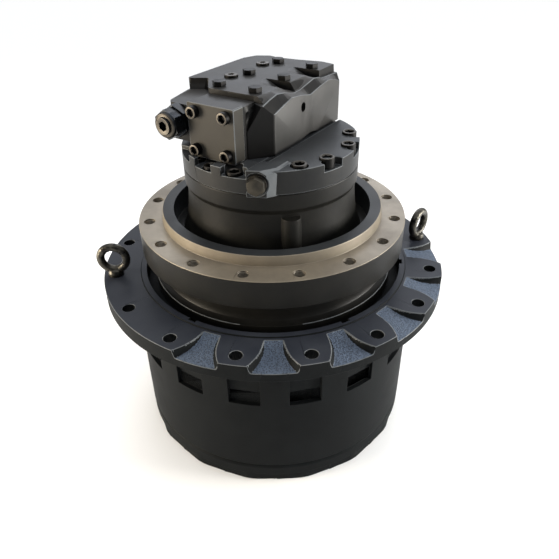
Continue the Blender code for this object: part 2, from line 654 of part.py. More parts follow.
port_plate = outline("valve_plate", [
    circle(CYLINDER_R - 0.0060, 24), circle(0.0240, 16), kidney(PISTON_CIRCLE_R - 0.004, 0.005, 0.35, math.pi - 0.35),
    kidney(PISTON_CIRCLE_R - 0.004, 0.005, math.pi + 0.35, 2 * math.pi - 0.35)], PORT_Z - PORT_PLATE_H, PORT_Z)
dress(port_plate, *BRONZE)
brake_z = disc_z + disc_h + GAP
brake_in = CYLINDER_R + 0.0100
brake = turned("brake_piston", [
    (brake_in, brake_z + BRAKE_PISTON_H), (MOTOR_BORE_R - GAP, brake_z + BRAKE_PISTON_H),
    (MOTOR_BORE_R - GAP, brake_z), (brake_in, brake_z)], True)
dress(brake, *STEEL)

# Rear cover: disc with a flat for the valve block, screw pockets in its rim and a lug with a plug
REAR_SCREWS = (209.0, 227.0, 246.0, 289.0, 310.5, 340.0, 4.0)
pocket_z = REAR_TOP - NOTCH_DEPTH
rear = turned("rear_cover", [
    (0.0, REAR_TOP), (CASE_R - 0.001, REAR_TOP), (CASE_R, REAR_TOP - 0.001), (CASE_R, REAR_Z), (BOSS_R, REAR_Z),
    (BOSS_R, REAR_Z - BOSS_H), (0.0145, REAR_Z - BOSS_H), (0.0145, REAR_Z + 0.0065), (0.0, REAR_Z + 0.0065)], False)
LUG_AZ = math.radians(262.3)
LUG_W = 0.0300
LUG_FRONT = CASE_R + 0.0055
lug_n = Vector((math.cos(LUG_AZ), math.sin(LUG_AZ), 0.0))
lug_t = Vector((-math.sin(LUG_AZ), math.cos(LUG_AZ), 0.0))
lug_left = lug_n * LUG_FRONT - lug_t * (LUG_W / 2)
lug_right = lug_n * LUG_FRONT + lug_t * (LUG_W / 2)
lug_line = [lug_left, lug_right, lug_right + E_B * 0.041, lug_left + E_B * 0.030]
combine(rear, outline("rear_lug", [[(p.x, p.y) for p in lug_line]], REAR_Z + 0.0005, REAR_TOP + 0.0015, CUTTERS),
        "UNION")
seat_mid = local((CHORD_U - 0.20) / 2, 0.0400)
combine(rear, boxes("block_seat", [((seat_mid.x, seat_mid.y, REAR_TOP - REAR_LOW + 0.01),
                                    (CHORD_U + 0.20, 0.28, 0.02), BLOCK_AZ - math.pi / 2)]))
trough_v = -(CASE_R - 0.0340)
trough = local(-0.050, trough_v)
combine(rear, boxes("plate_trough", [((trough.x, trough.y, pocket_z + 0.01), (0.150, 0.038, 0.02),
                                      BLOCK_AZ - math.pi / 2)]))
pockets = []
for azimuth, width in ((202.0, 0.033), (225.2, POCKET_W), (248.0, 0.040), (310.9, POCKET_W), (340.3, POCKET_W),
                       (4.0, POCKET_W)):
    a = math.radians(azimuth)
    r = CASE_R + 0.0020
    pockets.append(((r * math.cos(a), r * math.sin(a), pocket_z + 0.01), (0.0340, width, 0.02), a))
combine(rear, boxes("screw_pockets", pockets))
screw_places = [(SCREW_CIRCLE_R * math.cos(math.radians(a)), SCREW_CIRCLE_R * math.sin(math.radians(a)))
                for a in REAR_SCREWS]
combine(rear, rods("screw_counterbores", screw_places[3:], SCREW_R + 0.002, pocket_z, REAR_TOP + 0.01, 12))
combine(rear, rods("sunk_counterbores", screw_places[:3], SCREW_R + 0.002, pocket_z - SCREW_SINK, REAR_TOP + 0.01, 12))
dress(rear, *BLACK)


def socket_screw(name, radius, height, socket):
    """Cylinder head with a hexagon socket, standing on z=0."""
    head = rods(name, [(0.0, 0.0)], radius, 0.0, height, 12, PARTS)
    combine(head, rods(name + "_socket", [(0.0, 0.0)], socket, height * 0.45, height + 0.01, 6))
    return settle(head)


for k, (x, y) in enumerate(screw_places):
    head = socket_screw("cover_screw_%d" % (k + 1), SCREW_R, SCREW_H, 0.0078)
    head.location = (x, y, pocket_z + GAP - (SCREW_SINK if k < 3 else 0.0))
    dress(head, *DARK_STEEL)

TO_FRONT = BLOCK_FRAME @ Matrix.Rotation(math.pi / 2, 4, "X")
LUG_PLUG_R = 0.0180
LUG_PLUG_DROP = 0.0170
plug = rods("lug_plug", [(0.0, 0.0)], LUG_PLUG_R, 0.0, 0.0035, 14, PARTS)
combine(plug, rods("lug_plug_hex", [(0.0, 0.0)], 0.0150, 0.0025, 0.0130, 6), "UNION")
settle(plug)
plug.data.transform(Matrix.Rotation(LUG_AZ + math.pi / 2, 4, "Z") @ Matrix.Rotation(math.pi / 2, 4, "X"))
plug.location = lug_n * (LUG_FRONT + GAP) + Vector((0.0, 0.0, REAR_TOP - LUG_PLUG_DROP))
dress(plug, *DARK_STEEL)

# Valve block: lid face for the bolts, wavy machined edge at the right, end plate and relief valve boss at the front


def uv(points):
    return [tuple(local(u, v).xy) for u, v in points]


plate_back = PLATE_FRONT + PLATE_T
body_left = PLATE_U - PLATE_W / 2
body_right = PLATE_U + PLATE_W / 2
main = outline("valve_block", [uv([
    (body_left, BLOCK_FRONT), (body_right, BLOCK_FRONT + 0.001), (body_right, plate_back + 0.004),
    (BLOCK_RIGHT, BLOCK_FRONT + 0.009), (BLOCK_RIGHT, BLOCK_BACK - 0.006), (0.034, BLOCK_BACK + 0.004),
    (0.0, BLOCK_BACK + 0.012), (-0.045, BLOCK_BACK + 0.003), (-0.085, BLOCK_BACK - 0.001), (-0.105, BLOCK_BACK + 0.004),
    (-0.128, BLOCK_BACK - 0.008), (BLOCK_LEFT, BLOCK_BACK - 0.034), (BLOCK_LEFT, BLOCK_FRONT + 0.034),
    (BLOCK_LEFT + 0.004, BLOCK_FRONT + 0.030), (-0.106, BLOCK_FRONT + 0.046)])], BLOCK_Z, LID_TOP)

# Wavy edge: inner line EDGE_IN at u = 34 mm, outer line EDGE_OUT on the machined face, as (v, drop below the lid)
EDGE_IN = ((-0.105, 0.026), (-0.070, 0.011), (-0.031, 0.002), (0.019, 0.013), (0.080, 0.003), (0.106, 0.009), (0.190, 0.009))
EDGE_OUT = ((-0.105, 0.041), (-0.056, 0.026), (-0.007, 0.012), (0.050, 0.022), (0.107, 0.011), (0.142, 0.019), (0.190, 0.024))
edge = bpy.data.meshes.new("wavy_edge")
work = bmesh.new()
rows = []
for u, line, extra in ((-0.012, EDGE_IN, 0.0), (0.034, EDGE_IN, 0.0), (BLOCK_RIGHT, EDGE_OUT, 0.0),
                       (BLOCK_RIGHT + 0.012, EDGE_OUT, 0.012)):
    low = [work.verts.new(local(u, v, LID_TOP - drop - extra)) for v, drop in line]
    high = [work.verts.new(local(u, v, LID_TOP + 0.02)) for v, drop in line]
    rows.append((low, high))
count = len(EDGE_IN)
for (low_a, high_a), (low_b, high_b) in zip(rows, rows[1:]):
    for k in range(count - 1):
        work.faces.new((low_a[k], low_a[k + 1], low_b[k + 1], low_b[k]))
        work.faces.new((high_a[k], high_b[k], high_b[k + 1], high_a[k + 1]))
    for k in (0, count - 1):
        work.faces.new((low_a[k], low_b[k], high_b[k], high_a[k]))
for low, high in (rows[0], rows[-1]):
    for k in range(count - 1):
        work.faces.new((low[k], high[k], high[k + 1], low[k + 1]))
bmesh.ops.recalc_face_normals(work, faces=work.faces)
work.to_mesh(edge)
work.free()
combine(main, add("wavy_edge", edge, CUTTERS))
boss_low = LID_TOP - 0.030
for k, line in enumerate((
        [(-0.013, BLOCK_FRONT + 0.001), (0.014, BLOCK_FRONT + 0.001), (0.021, -0.056), (0.021, -0.036), (0.010, -0.020),
         (-0.013, 0.0)],
        [(-0.013, 0.022), (0.023, 0.024), (0.024, 0.046), (0.010, 0.066), (-0.013, 0.072)],
        [(-0.013, 0.108), (0.023, 0.110), (0.027, 0.140), (0.027, 0.1590), (-0.013, 0.1600)])):
    combine(main, outline("bolt_boss_%d" % (k + 1), [uv(line)], boss_low, LID_TOP, CUTTERS), "UNION")
front = outline("plate_body", [uv([
    (body_left, plate_back + GAP), (body_right, plate_back + GAP), (body_right, BLOCK_FRONT + 0.003),
    (body_left, BLOCK_FRONT + 0.003)])], BLOCK_Z, BLOCK_TOP - 0.001, CUTTERS)
combine(main, front, "UNION")
valve_front = PLATE_FRONT + 0.0140
boss = outline("relief_boss", [uv([
    (VALVE_U - 0.025, valve_front + 0.008), (VALVE_U - 0.018, valve_front), (VALVE_U + 0.026, valve_front),
    (VALVE_U + 0.026 + 0.004, -0.030), (BLOCK_LEFT + 0.002, -0.020), (BLOCK_LEFT + 0.002, -0.036)])],
    BLOCK_Z + 0.014, LID_TOP - SHELF_DROP, CUTTERS)
combine(main, boss, "UNION")
valley = bpy.data.meshes.new("plate_valley")
work = bmesh.new()
valley_left = body_right + 0.0004
for u, v, z in ((valley_left, BLOCK_FRONT - 0.0012, LID_TOP - 0.0205), (valley_left, BLOCK_FRONT - 0.0012, LID_TOP + 0.01),
                (valley_left, plate_back - 0.0005, LID_TOP - 0.0560), (0.0340, BLOCK_FRONT - 0.0067, LID_TOP - 0.0120),
                (0.0340, BLOCK_FRONT - 0.0067, LID_TOP + 0.01), (valley_left, BLOCK_FRONT - 0.0550, LID_TOP - 0.0560),
                (valley_left, BLOCK_FRONT - 0.0550, LID_TOP + 0.01),
                (0.0340, BLOCK_FRONT - 0.0550, LID_TOP - 0.0400), (0.0340, BLOCK_FRONT - 0.0550, LID_TOP + 0.01)):
    work.verts.new(local(u, v, z))
bmesh.ops.convex_hull(work, input=work.verts)
bmesh.ops.recalc_face_normals(work, faces=work.faces)
work.to_mesh(valley)
work.free()
combine(main, add("plate_valley", valley, CUTTERS))
right_cuts = bpy.data.meshes.new("right_face_cuts")
work = bmesh.new()
for v, z, radius, u0, u1, sides in ((0.0500, BLOCK_Z + 0.0055 - 0.0690, 0.0690, 0.0200, 0.0600, 48),
                                    (0.0275, LID_TOP - 0.0361, 0.0074, BLOCK_RIGHT - 0.0120, 0.0600, 12)):
    move = Matrix.Translation(local((u0 + u1) / 2, v, z)) @ BLOCK_FRAME @ Matrix.Rotation(math.pi / 2, 4, "Y")
    bmesh.ops.create_cone(work, cap_ends=True, segments=sides, radius1=radius, radius2=radius, depth=u1 - u0, matrix=move)
work.to_mesh(right_cuts)
work.free()
combine(main, add("right_face_cuts", right_cuts, CUTTERS))
across = Matrix.Rotation(math.pi / 2, 4, "X")
bores = bpy.data.meshes.new("valve_bores")
work = bmesh.new()
for u, z, radius, v0, v1 in ((PLATE_U, PLATE_MID, SPOOL_R + GAP, plate_back - 0.01, 0.080),
                             (VALVE_U, VALVE_Z, 0.0123, valve_front - 0.01, valve_front + 0.040),
                             (-0.090, PLATE_MID - 0.004, 0.0150, BLOCK_BACK - 0.035, BLOCK_BACK + 0.02),
                             (-0.040, PLATE_MID - 0.004, 0.0150, BLOCK_BACK - 0.035, BLOCK_BACK + 0.02)):
    move = Matrix.Translation(local(u, (v0 + v1) / 2, z)) @ BLOCK_FRAME @ across
    radius = radius / math.cos(math.pi / 16)
    bmesh.ops.create_cone(work, cap_ends=True, segments=16, radius1=radius, radius2=radius, depth=v1 - v0, matrix=move)
work.to_mesh(bores)
work.free()
combine(main, add("valve_bores", bores, CUTTERS))
dress(main, *BLACK)

spool_line = []
spool_top = 0.0670
spool_bottom = -0.0750
for z, r in ((0.067, 1.0), (0.043, 1.0), (0.043, 0.62), (0.010, 0.62), (0.010, 1.0), (-0.075, 1.0)):
    spool_line.append((SPOOL_R * r, z))
spool = turned("counterbalance_spool", [(0.0, spool_top)] + spool_line + [(0.0, spool_bottom)], False, 16)
settle(spool)
spool.data.transform(BLOCK_FRAME @ Matrix.Rotation(-math.pi / 2, 4, "X"))
spool.location = local(PLATE_U, 0.0, PLATE_MID)
dress(spool, *STEEL)

plate_centre = local(PLATE_U, PLATE_FRONT + PLATE_T / 2, PLATE_MID)
plate = boxes("side_plate", [((0.0, 0.0, 0.0), (PLATE_W, PLATE_T, PLATE_H), 0.0)], PARTS)
bevel = plate.modifiers.new("edges", "BEVEL")
bevel.width = 0.0020
bevel.segments = 1
plate.matrix_world = Matrix.Translation(plate_centre) @ BLOCK_FRAME
dress(plate, *CAST)
number = 0
for du in (-0.5, 0.5):
    for dz in (-0.5, 0.5):
        number += 1
        head = socket_screw("side_plate_screw_%d" % number, PLATE_SCREW_R, PLATE_SCREW_H, 0.0058)
        head.data.transform(TO_FRONT)
        head.location = local(PLATE_U + du * PLATE_SCREW_W, PLATE_FRONT - GAP, PLATE_MID + dz * PLATE_SCREW_W)
        dress(head, *DARK_STEEL)

relief = turned("relief_valve", [
    (0.0, 0.0420), (0.0135, 0.0420), (0.0135, 0.0370), (0.0195, 0.0370), (0.0205, 0.0340), (0.0205, 0.0),
    (0.0120, 0.0), (0.0120, -0.0380), (0.0, -0.0380)], False, 16)
combine(relief, rods("relief_hex_small", [(0.0, 0.0)], 0.0235, 0.0160, 0.0340, 6), "UNION")
combine(relief, rods("relief_hex_large", [(0.0, 0.0)], 0.0262, GAP, 0.0150, 6), "UNION")
combine(relief, rods("relief_socket", [(0.0, 0.0)], 0.0080, 0.0300, 0.0500, 6))
settle(relief)
relief.data.transform(TO_FRONT)
relief.location = local(VALVE_U, valve_front - GAP, VALVE_Z)
dress(relief, *DARK_STEEL)

number = 0
for u in (BOLT_ROW_A, BOLT_ROW_B):
    for v in BOLT_V:
        number += 1
        place = local(u, v, LID_TOP + GAP)
        head = rods("top_bolt_%d" % number, [(0.0, 0.0)], TOP_BOLT_R, 0.0, TOP_BOLT_H, 6, PARTS)
        head.location = place
        dress(head, *DARK_STEEL)
for k, v in enumerate((0.0050, 0.0960)):
    head = socket_screw("gauge_plug_%d" % (k + 1), 0.0115, 0.0040, 0.0050)
    head.location = local(-0.0780, v, LID_TOP + GAP)
    dress(head, *DARK_STEEL)

# Eye bolts in two opposite sprocket holes, the second and the tenth
eye_height = 0.0305
eye_shank = SPROCKET_HOLE_R * math.cos(math.pi / 8) - GAP
for k, (index, facing) in enumerate(((1, 270.0), (9, 330.0))):
    x, y = hole_places[index]
    bolt = turned("eye_bolt_%d" % (k + 1), [
        (0.0, 0.0120), (0.0100, 0.0120), (EYE_COLLAR_R - 0.004, EYE_COLLAR_H), (EYE_COLLAR_R, EYE_COLLAR_H - 0.002),
        (EYE_COLLAR_R, 0.0), (eye_shank, 0.0), (eye_shank, -0.0240), (0.0, -0.0240)],
        False, 12)
    bpy.ops.mesh.primitive_torus_add(major_radius=EYE_R, minor_radius=EYE_WIRE, major_segments=16, minor_segments=6)
    eye = bpy.context.object
    eye.name = "eye_%d" % (k + 1)
    for place in list(eye.users_collection):
        place.objects.unlink(eye)
    PARTS.objects.link(eye)
    facing = math.radians(facing)
    eye.data.transform(Matrix.Translation((0.0, 0.0, eye_height)) @ Matrix.Rotation(facing, 4, "Z")
                       @ Matrix.Rotation(math.pi / 2, 4, "Y"))
    combine(bolt, eye, "UNION")
    settle(bolt)
    bolt.location = (x, y, FLANGE_TOP + GAP)
    dress(bolt, *DARK_STEEL)
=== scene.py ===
import json
import math

import bmesh
import bpy
from mathutils import Matrix, Vector


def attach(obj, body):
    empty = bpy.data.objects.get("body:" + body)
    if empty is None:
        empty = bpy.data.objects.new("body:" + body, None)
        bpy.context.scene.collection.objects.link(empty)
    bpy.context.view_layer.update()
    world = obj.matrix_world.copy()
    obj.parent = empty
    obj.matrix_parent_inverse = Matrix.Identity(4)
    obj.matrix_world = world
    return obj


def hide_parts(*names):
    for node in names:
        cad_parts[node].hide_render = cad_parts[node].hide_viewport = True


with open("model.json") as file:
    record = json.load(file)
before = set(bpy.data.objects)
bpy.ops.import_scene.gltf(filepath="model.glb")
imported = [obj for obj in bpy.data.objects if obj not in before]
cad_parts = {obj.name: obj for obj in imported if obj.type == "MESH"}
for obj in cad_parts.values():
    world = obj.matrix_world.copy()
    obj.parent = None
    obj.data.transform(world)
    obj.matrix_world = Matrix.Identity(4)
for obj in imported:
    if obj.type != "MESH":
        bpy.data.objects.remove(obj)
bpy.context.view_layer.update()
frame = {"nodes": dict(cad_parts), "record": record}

# The room: a sheet of white paper for a floor, a soft warm window at the left, a plain one at the right and a
# wide roof light. Nothing lights the object from in front, so the faces towards the camera stay nearly black.


def ink(code):
    """Linear colour of an sRGB hex code."""
    parts = [int(code[k:k + 2], 16) / 255.0 for k in (1, 3, 5)]
    return tuple(((c + 0.055) / 1.055) ** 2.4 if c > 0.04045 else c / 12.92 for c in parts) + (1.0,)


def node(tree, kind, links=(), **settings):
    """Adds a node: settings are attributes or socket values (in_0=..., in_Roughness=...), and links are
    (socket, output) pairs."""
    made = tree.nodes.new(kind)
    for key, value in settings.items():
        if key.startswith("in_"):
            name = key[3:].replace("_", " ")
            made.inputs[int(name) if name.isdigit() else name].default_value = value
        else:
            setattr(made, key, value)
    for socket, output in links:
        tree.links.new(output, made.inputs[socket])
    return made


scene = bpy.context.scene
scene.view_settings.view_transform = "Standard"
CAMERA_PLACE = (0.01128, -0.9125, 0.87996)
CAMERA_DOWN = 33.92
CAMERA_ROLL = -0.87
eye = bpy.data.cameras.new("photo_camera")
eye.lens = 36.85
eye.sensor_width = 36.0
eye.clip_end = 50.0
camera = bpy.data.objects.new("photo_camera", eye)
scene.collection.objects.link(camera)
camera.matrix_world = (Matrix.Translation(CAMERA_PLACE) @ Matrix.Rotation(math.radians(90.0 - CAMERA_DOWN), 4, "X")
                       @ Matrix.Rotation(math.radians(CAMERA_ROLL), 4, "Z"))
scene.camera = camera

hall = bpy.data.worlds.new("hall")
hall.use_nodes = True
scene.world = hall
tree = hall.node_tree
tree.nodes.clear()
ray = node(tree, "ShaderNodeLightPath")
dim = node(tree, "ShaderNodeBackground", in_Color=ink("#c9d2e0"), in_Strength=0.22)
white = node(tree, "ShaderNodeBackground", in_Color=ink("#ffffff"), in_Strength=1.0)
mix = node(tree, "ShaderNodeMixShader",
           [(0, ray.outputs["Is Camera Ray"]), (1, dim.outputs[0]), (2, white.outputs[0])])
node(tree, "ShaderNodeOutputWorld", [(0, mix.outputs[0])])


WINDOW_SPREAD = math.radians(70.0)


def window(name, place, aim, width, height, power, colour):
    """Soft rectangular light that looks at a point."""
    lamp = bpy.data.lights.new(name, "AREA")
    lamp.shape = "RECTANGLE"
    lamp.size = width
    lamp.size_y = height
    lamp.energy = power
    lamp.color = ink(colour)[:3]
    lamp.spread = WINDOW_SPREAD
    holder = bpy.data.objects.new(name, lamp)
    scene.collection.objects.link(holder)
    holder.location = place
    holder.rotation_euler = (Vector(aim) - Vector(place)).to_track_quat("-Z", "Y").to_euler()


MIDDLE = (0.0, 0.0, 0.35)
window("left_window", (-2.4, -0.60, 0.55), MIDDLE, 1.3, 1.1, 20.0, "#fff0d8")
window("right_window", (2.4, -0.20, 0.62), MIDDLE, 1.3, 1.1, 22.0, "#fbf8f2")
window("back_window", (0.3, 2.6, 2.1), MIDDLE, 2.6, 1.2, 5.0, "#eef3ff")
sky = bpy.data.lights.new("roof_light", "SUN")
sky.energy = 3.0
sky.angle = math.radians(120.0)
sky_holder = bpy.data.objects.new("roof_light", sky)
sky_holder.rotation_euler = (math.radians(-14.0), math.radians(6.0), 0.0)
scene.collection.objects.link(sky_holder)

paper = bpy.data.materials.new("pale_paper")
paper.use_nodes = True
skin = paper.node_tree.nodes["Principled BSDF"]
skin.inputs["Base Color"].default_value = ink("#fafaf9")
skin.inputs["Roughness"].default_value = 0.9
skin.inputs["Specular IOR Level"].default_value = 0.1
PAPER_REACH = 12.0
PAPER_UNDER = 0.0005
sheet = bmesh.new()
bmesh.ops.create_grid(sheet, x_segments=1, y_segments=1, size=PAPER_REACH,
                      matrix=Matrix.Translation((0.0, 0.0, -PAPER_UNDER)))
floor_mesh = bpy.data.meshes.new("floor")
sheet.to_mesh(floor_mesh)
floor_mesh.materials.append(paper)
floor = bpy.data.objects.new("floor", floor_mesh)
scene.collection.objects.link(floor)

# End cover: a dished disc of ductile iron that closes the gear case, cast, turned and sprayed black. Its rim has
# a flat and a scallop for each of its sixteen hexagon screws, and its face three tapped holes for plugs.

AXIS = (0.0, 0.0, 1.0)
FIRST_HOLE = math.radians(169.0)
SIXTEENTH = math.tau / 16


def lathe(profile, turns=192):
    """Turned shape: (radius, height) or (radius, height, rounding) points, spun round the drive axis."""
    work = bmesh.new()
    verts = [work.verts.new((p[0], 0.0, p[1])) for p in profile]
    for a, b in zip(verts, verts[1:] + verts[:1]):
        work.edges.new((a, b))
    sizes = sorted({p[2] for p in profile if len(p) > 2})
    groups = [(size, [v for v, p in zip(verts, profile) if len(p) > 2 and p[2] == size]) for size in sizes]
    for size, corner in groups:
        bmesh.ops.bevel(work, geom=corner, offset=size, offset_type="OFFSET", segments=4, profile=0.5,
                        affect="VERTICES", material=-1)
    bmesh.ops.spin(work, geom=work.verts[:] + work.edges[:], cent=(0, 0, 0), axis=AXIS, angle=math.tau,
                   steps=turns, use_merge=True)
    bmesh.ops.remove_doubles(work, verts=work.verts, dist=0.000002)
    bmesh.ops.dissolve_degenerate(work, edges=work.edges, dist=0.000002)
    bmesh.ops.recalc_face_normals(work, faces=work.faces)
    return work


def as_object(name, work):
    """Object of a bmesh, which is freed."""
    mesh = bpy.data.meshes.new(name)
    work.to_mesh(mesh)
    work.free()
    made = bpy.data.objects.new(name, mesh)
    scene.collection.objects.link(made)
    return made


def keep(piece):
    """Applies what modifiers a piece has."""
    graph = bpy.context.evaluated_depsgraph_get()
    mesh = bpy.data.meshes.new_from_object(piece.evaluated_get(graph))
    piece.modifiers.clear()
    piece.data = mesh
    return piece


def carve(piece, tool, operation="DIFFERENCE"):
    """Cuts a tool out of a piece, or joins it on, and drops the tool."""
    tool = as_object("tool", tool) if isinstance(tool, bmesh.types.BMesh) else tool
    step = piece.modifiers.new("carve", "BOOLEAN")
    step.object = tool
    step.operation = operation
    step.solver = "EXACT"
    keep(piece)
    bpy.data.objects.remove(tool)
    return piece


def soften(piece, width, segments=2, angle=28.0, merge=0.0009, edge=-1, clamp=False):
    """Joins up the slivers that the cuts left, rounds the edges sharper than an angle and smooths the faces.
    The rounded edges get the material number edge."""
    piece.data.shade_smooth()
    while len(piece.data.materials) <= edge:
        piece.data.materials.append(None)
    weld = piece.modifiers.new("weld", "WELD")
    weld.merge_threshold = merge
    step = piece.modifiers.new("soften", "BEVEL")
    step.limit_method = "ANGLE"
    step.angle_limit = math.radians(angle)
    step.width = width
    step.segments = segments
    step.use_clamp_overlap = clamp
    step.material = edge
    even = piece.modifiers.new("even", "WEIGHTED_NORMAL")
    even.weight = 100
    even.keep_sharp = False
    return keep(piece)


def place_round(radius, azimuth, z=0.0):
    """Move to a place round the axis, with local X pointing outwards."""
    return Matrix.Rotation(azimuth, 4, "Z") @ Matrix.Translation((radius, 0.0, z))


def rod(work, radius, z0, z1, where=Matrix.Identity(4), sides=48, top=None):
    """Upright cylinder in a bmesh, or a cone where its top radius is given."""
    bmesh.ops.create_cone(work, cap_ends=True, segments=sides, radius1=radius, radius2=radius if top is None else top,
                          depth=z1 - z0, matrix=where @ Matrix.Translation((0.0, 0.0, (z0 + z1) / 2)))


def block(work, size, where):
    """Box of a size round a place, in a bmesh."""
    bmesh.ops.create_cube(work, size=1.0, matrix=where @ Matrix.Diagonal((*size, 1.0)))


def prism(outline, z0, z1):
    """Flat outline of (x, y) points, raised from z0 to z1."""
    work = bmesh.new()
    face = work.faces.new([work.verts.new((x, y, z0)) for x, y in outline])
    raised = bmesh.ops.extrude_face_region(work, geom=[face])
    top = [g for g in raised["geom"] if isinstance(g, bmesh.types.BMVert)]
    bmesh.ops.translate(work, verts=top, vec=(0.0, 0.0, z1 - z0))
    bmesh.ops.recalc_face_normals(work, faces=work.faces)
    return work


def upright(edge):
    """Whether an edge runs along Z."""
    return abs((edge.verts[0].co - edge.verts[1].co).normalized().z) > 0.99


def round_edges(work, edges, width, segments=3):
    """Rounds chosen edges of a bmesh, or chamfers them with one segment."""
    bmesh.ops.bevel(work, geom=edges, offset=width, offset_type="OFFSET", segments=segments, profile=0.5,
                    affect="EDGES", material=-1)
    return work


def shade(piece, material, body, stands_for=(), angle=35.0):
    """Gives a piece its material, its body and the CAD nodes it stands for; angle smooths one that wasn't softened."""
    marks = [face.material_index for face in piece.data.polygons]
    piece.data.materials.clear()
    for mat in material if isinstance(material, (list, tuple)) else [material]:
        piece.data.materials.append(mat)
    for face, mark in zip(piece.data.polygons, marks):
        face.material_index = mark
    if angle:
        piece.data.shade_smooth()
        piece.data.set_sharp_from_angle(angle=math.radians(angle))
    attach(piece, body)
    if stands_for:
        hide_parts(*stands_for)
    return piece


def mark_faces(piece, test):
    """Gives each face the material number that test(face) returns, or leaves it where that is None."""
    for face in piece.data.polygons:
        mark = test(face)
        if mark is not None:
            face.material_index = mark


def new_finish(name):
    """Starts a material: itself, its nodes, its shader and the object coordinates that its patterns lie on."""
    mat = bpy.data.materials.new(name)
    mat.use_nodes = True
    t = mat.node_tree
    return mat, t, t.nodes["Principled BSDF"], node(t, "ShaderNodeTexCoord").outputs["Object"]


def wire(t, shader, colour, dull, bump):
    """Leads a colour, a roughness node and a relief node into the shader."""
    t.links.new(colour, shader.inputs["Base Color"])
    t.links.new(dull.outputs["Result"], shader.inputs["Roughness"])
    t.links.new(bump.outputs["Normal"], shader.inputs["Normal"])


def sprayed_iron(name, colour, dust, rough, grain=1.6, relief=0.25, gloss=0.12):
    """Satin enamel over sand-cast iron: the grain of the mould, in millimetres, shows through as soft pits,
    and workshop dust dulls it in patches a hand wide."""
    mat, t, shader, where = new_finish(name)
    shader.inputs["Specular IOR Level"].default_value = gloss
    sand = node(t, "ShaderNodeTexNoise", [("Vector", where)], in_Scale=1000.0 / grain / 2, in_Detail=3.0,
                in_Roughness=0.55)
    patches = node(t, "ShaderNodeTexNoise", [("Vector", where)], in_Scale=14.0, in_Detail=5.0, in_Roughness=0.6)
    tone = node(t, "ShaderNodeValToRGB", [("Fac", patches.outputs["Fac"])])
    tone.color_ramp.elements[0].position = 0.38
    tone.color_ramp.elements[0].color = ink(colour)
    tone.color_ramp.elements[1].position = 0.72
    tone.color_ramp.elements[1].color = ink(dust)
    dull = node(t, "ShaderNodeMapRange", [("Value", patches.outputs["Fac"])], in_1=0.3, in_2=0.75, in_3=rough - 0.06,
                in_4=rough + 0.1)
    bump = node(t, "ShaderNodeBump", [("Height", sand.outputs["Fac"])], in_Strength=relief,
                in_Distance=grain / 4000.0)
    wire(t, shader, tone.outputs["Color"], dull, bump)
    return mat


drum_enamel = sprayed_iron("black_enamel_on_drum", "#101213", "#181a1b", 0.56, gloss=0.05)
COVER_R = 0.2565
COVER_TOP = 0.0390
COVER_WALL = 0.020
REGISTER_OUT, REGISTER_IN, REGISTER_RISE = 0.1820, 0.1700, 0.004
THRUST_R, THRUST_TOP = 0.0300, 0.0472
SCREW_RING = 0.2400
SCREW_SEAT_Z = 0.0149
FLAT_DEPTH, FLAT_TOOL = 0.0045, (0.030, 0.089, 0.050)
SCALLOP_R = 0.0117
PLUG_RING, PLUG_HOLE_R = 0.150, 0.0164
cover = as_object("end_cover_disc", lathe([
    (0.0, 0.0), (COVER_R - 0.003, 0.0), (COVER_R, 0.003), (COVER_R, COVER_TOP - 0.0040), (COVER_R - 0.0035, COVER_TOP),
    (REGISTER_OUT, COVER_TOP), (REGISTER_OUT, COVER_TOP + REGISTER_RISE), (REGISTER_IN, COVER_TOP + REGISTER_RISE),
    (REGISTER_IN, COVER_WALL), (THRUST_R, COVER_WALL), (THRUST_R, THRUST_TOP), (0.0, THRUST_TOP)]))
flats, scallops, plug_holes = bmesh.new(), bmesh.new(), bmesh.new()
for k in range(16):
    azimuth = FIRST_HOLE + (k + 0.5) * SIXTEENTH
    block(flats, FLAT_TOOL, place_round(COVER_R - FLAT_DEPTH + FLAT_TOOL[0] / 2, azimuth, -0.0070))
    rod(scallops, SCALLOP_R, -0.01, 0.015, place_round(SCREW_RING, azimuth), 24)
for k in range(3):
    rod(plug_holes, PLUG_HOLE_R, -0.01, 0.03, place_round(PLUG_RING, math.radians(90.0 + 120 * k)), 32)
for cuts in (flats, scallops, plug_holes):
    carve(cover, cuts)
soften(cover, 0.0010)
shade(cover, drum_enamel, "drum_side", ["end_cover"], angle=0)

# The hexagon screws of the end cover: forged alloy steel, blackened and oiled, each head with a washer face and
# a chamfered crown. They screw up into the drum, with their heads in the scallops of the cover's rim.


def oiled_steel(name, colour, rough, relief=0.15, grain=0.8, worn="#2c2b29", depth=0.0002):
    """Blackened, oiled steel: dark and pitted, the grain in millimetres, with smears where the oxide has rubbed
    off and the oil lies thicker."""
    mat, t, shader, where = new_finish(name)
    shader.inputs["Metallic"].default_value = 0.9
    pits = node(t, "ShaderNodeTexNoise", [("Vector", where)], in_Scale=500.0 / grain, in_Detail=2.0)
    smear = node(t, "ShaderNodeTexNoise", [("Vector", where)], in_Scale=60.0, in_Detail=3.0)
    tone = node(t, "ShaderNodeValToRGB", [("Fac", smear.outputs["Fac"])])
    tone.color_ramp.elements[0].position = 0.35
    tone.color_ramp.elements[0].color = ink(colour)
    tone.color_ramp.elements[1].position = 0.75
    tone.color_ramp.elements[1].color = ink(worn)
    bump = node(t, "ShaderNodeBump", [("Height", pits.outputs["Fac"])], in_Strength=relief, in_Distance=depth)
    dull = node(t, "ShaderNodeMapRange", [("Value", smear.outputs["Fac"])], in_1=0.3, in_2=0.7, in_3=rough,
                in_4=rough + 0.15)
    wire(t, shader, tone.outputs["Color"], dull, bump)
    return mat


black_screws = oiled_steel("blackened_screw_steel", "#0b0b0c", 0.40, worn="#191817")


def crown_edges(work, height):
    """Edges at the top of an upright shape."""
    return [e for e in work.edges if all(v.co.z > height - 0.0001 for v in e.verts)]


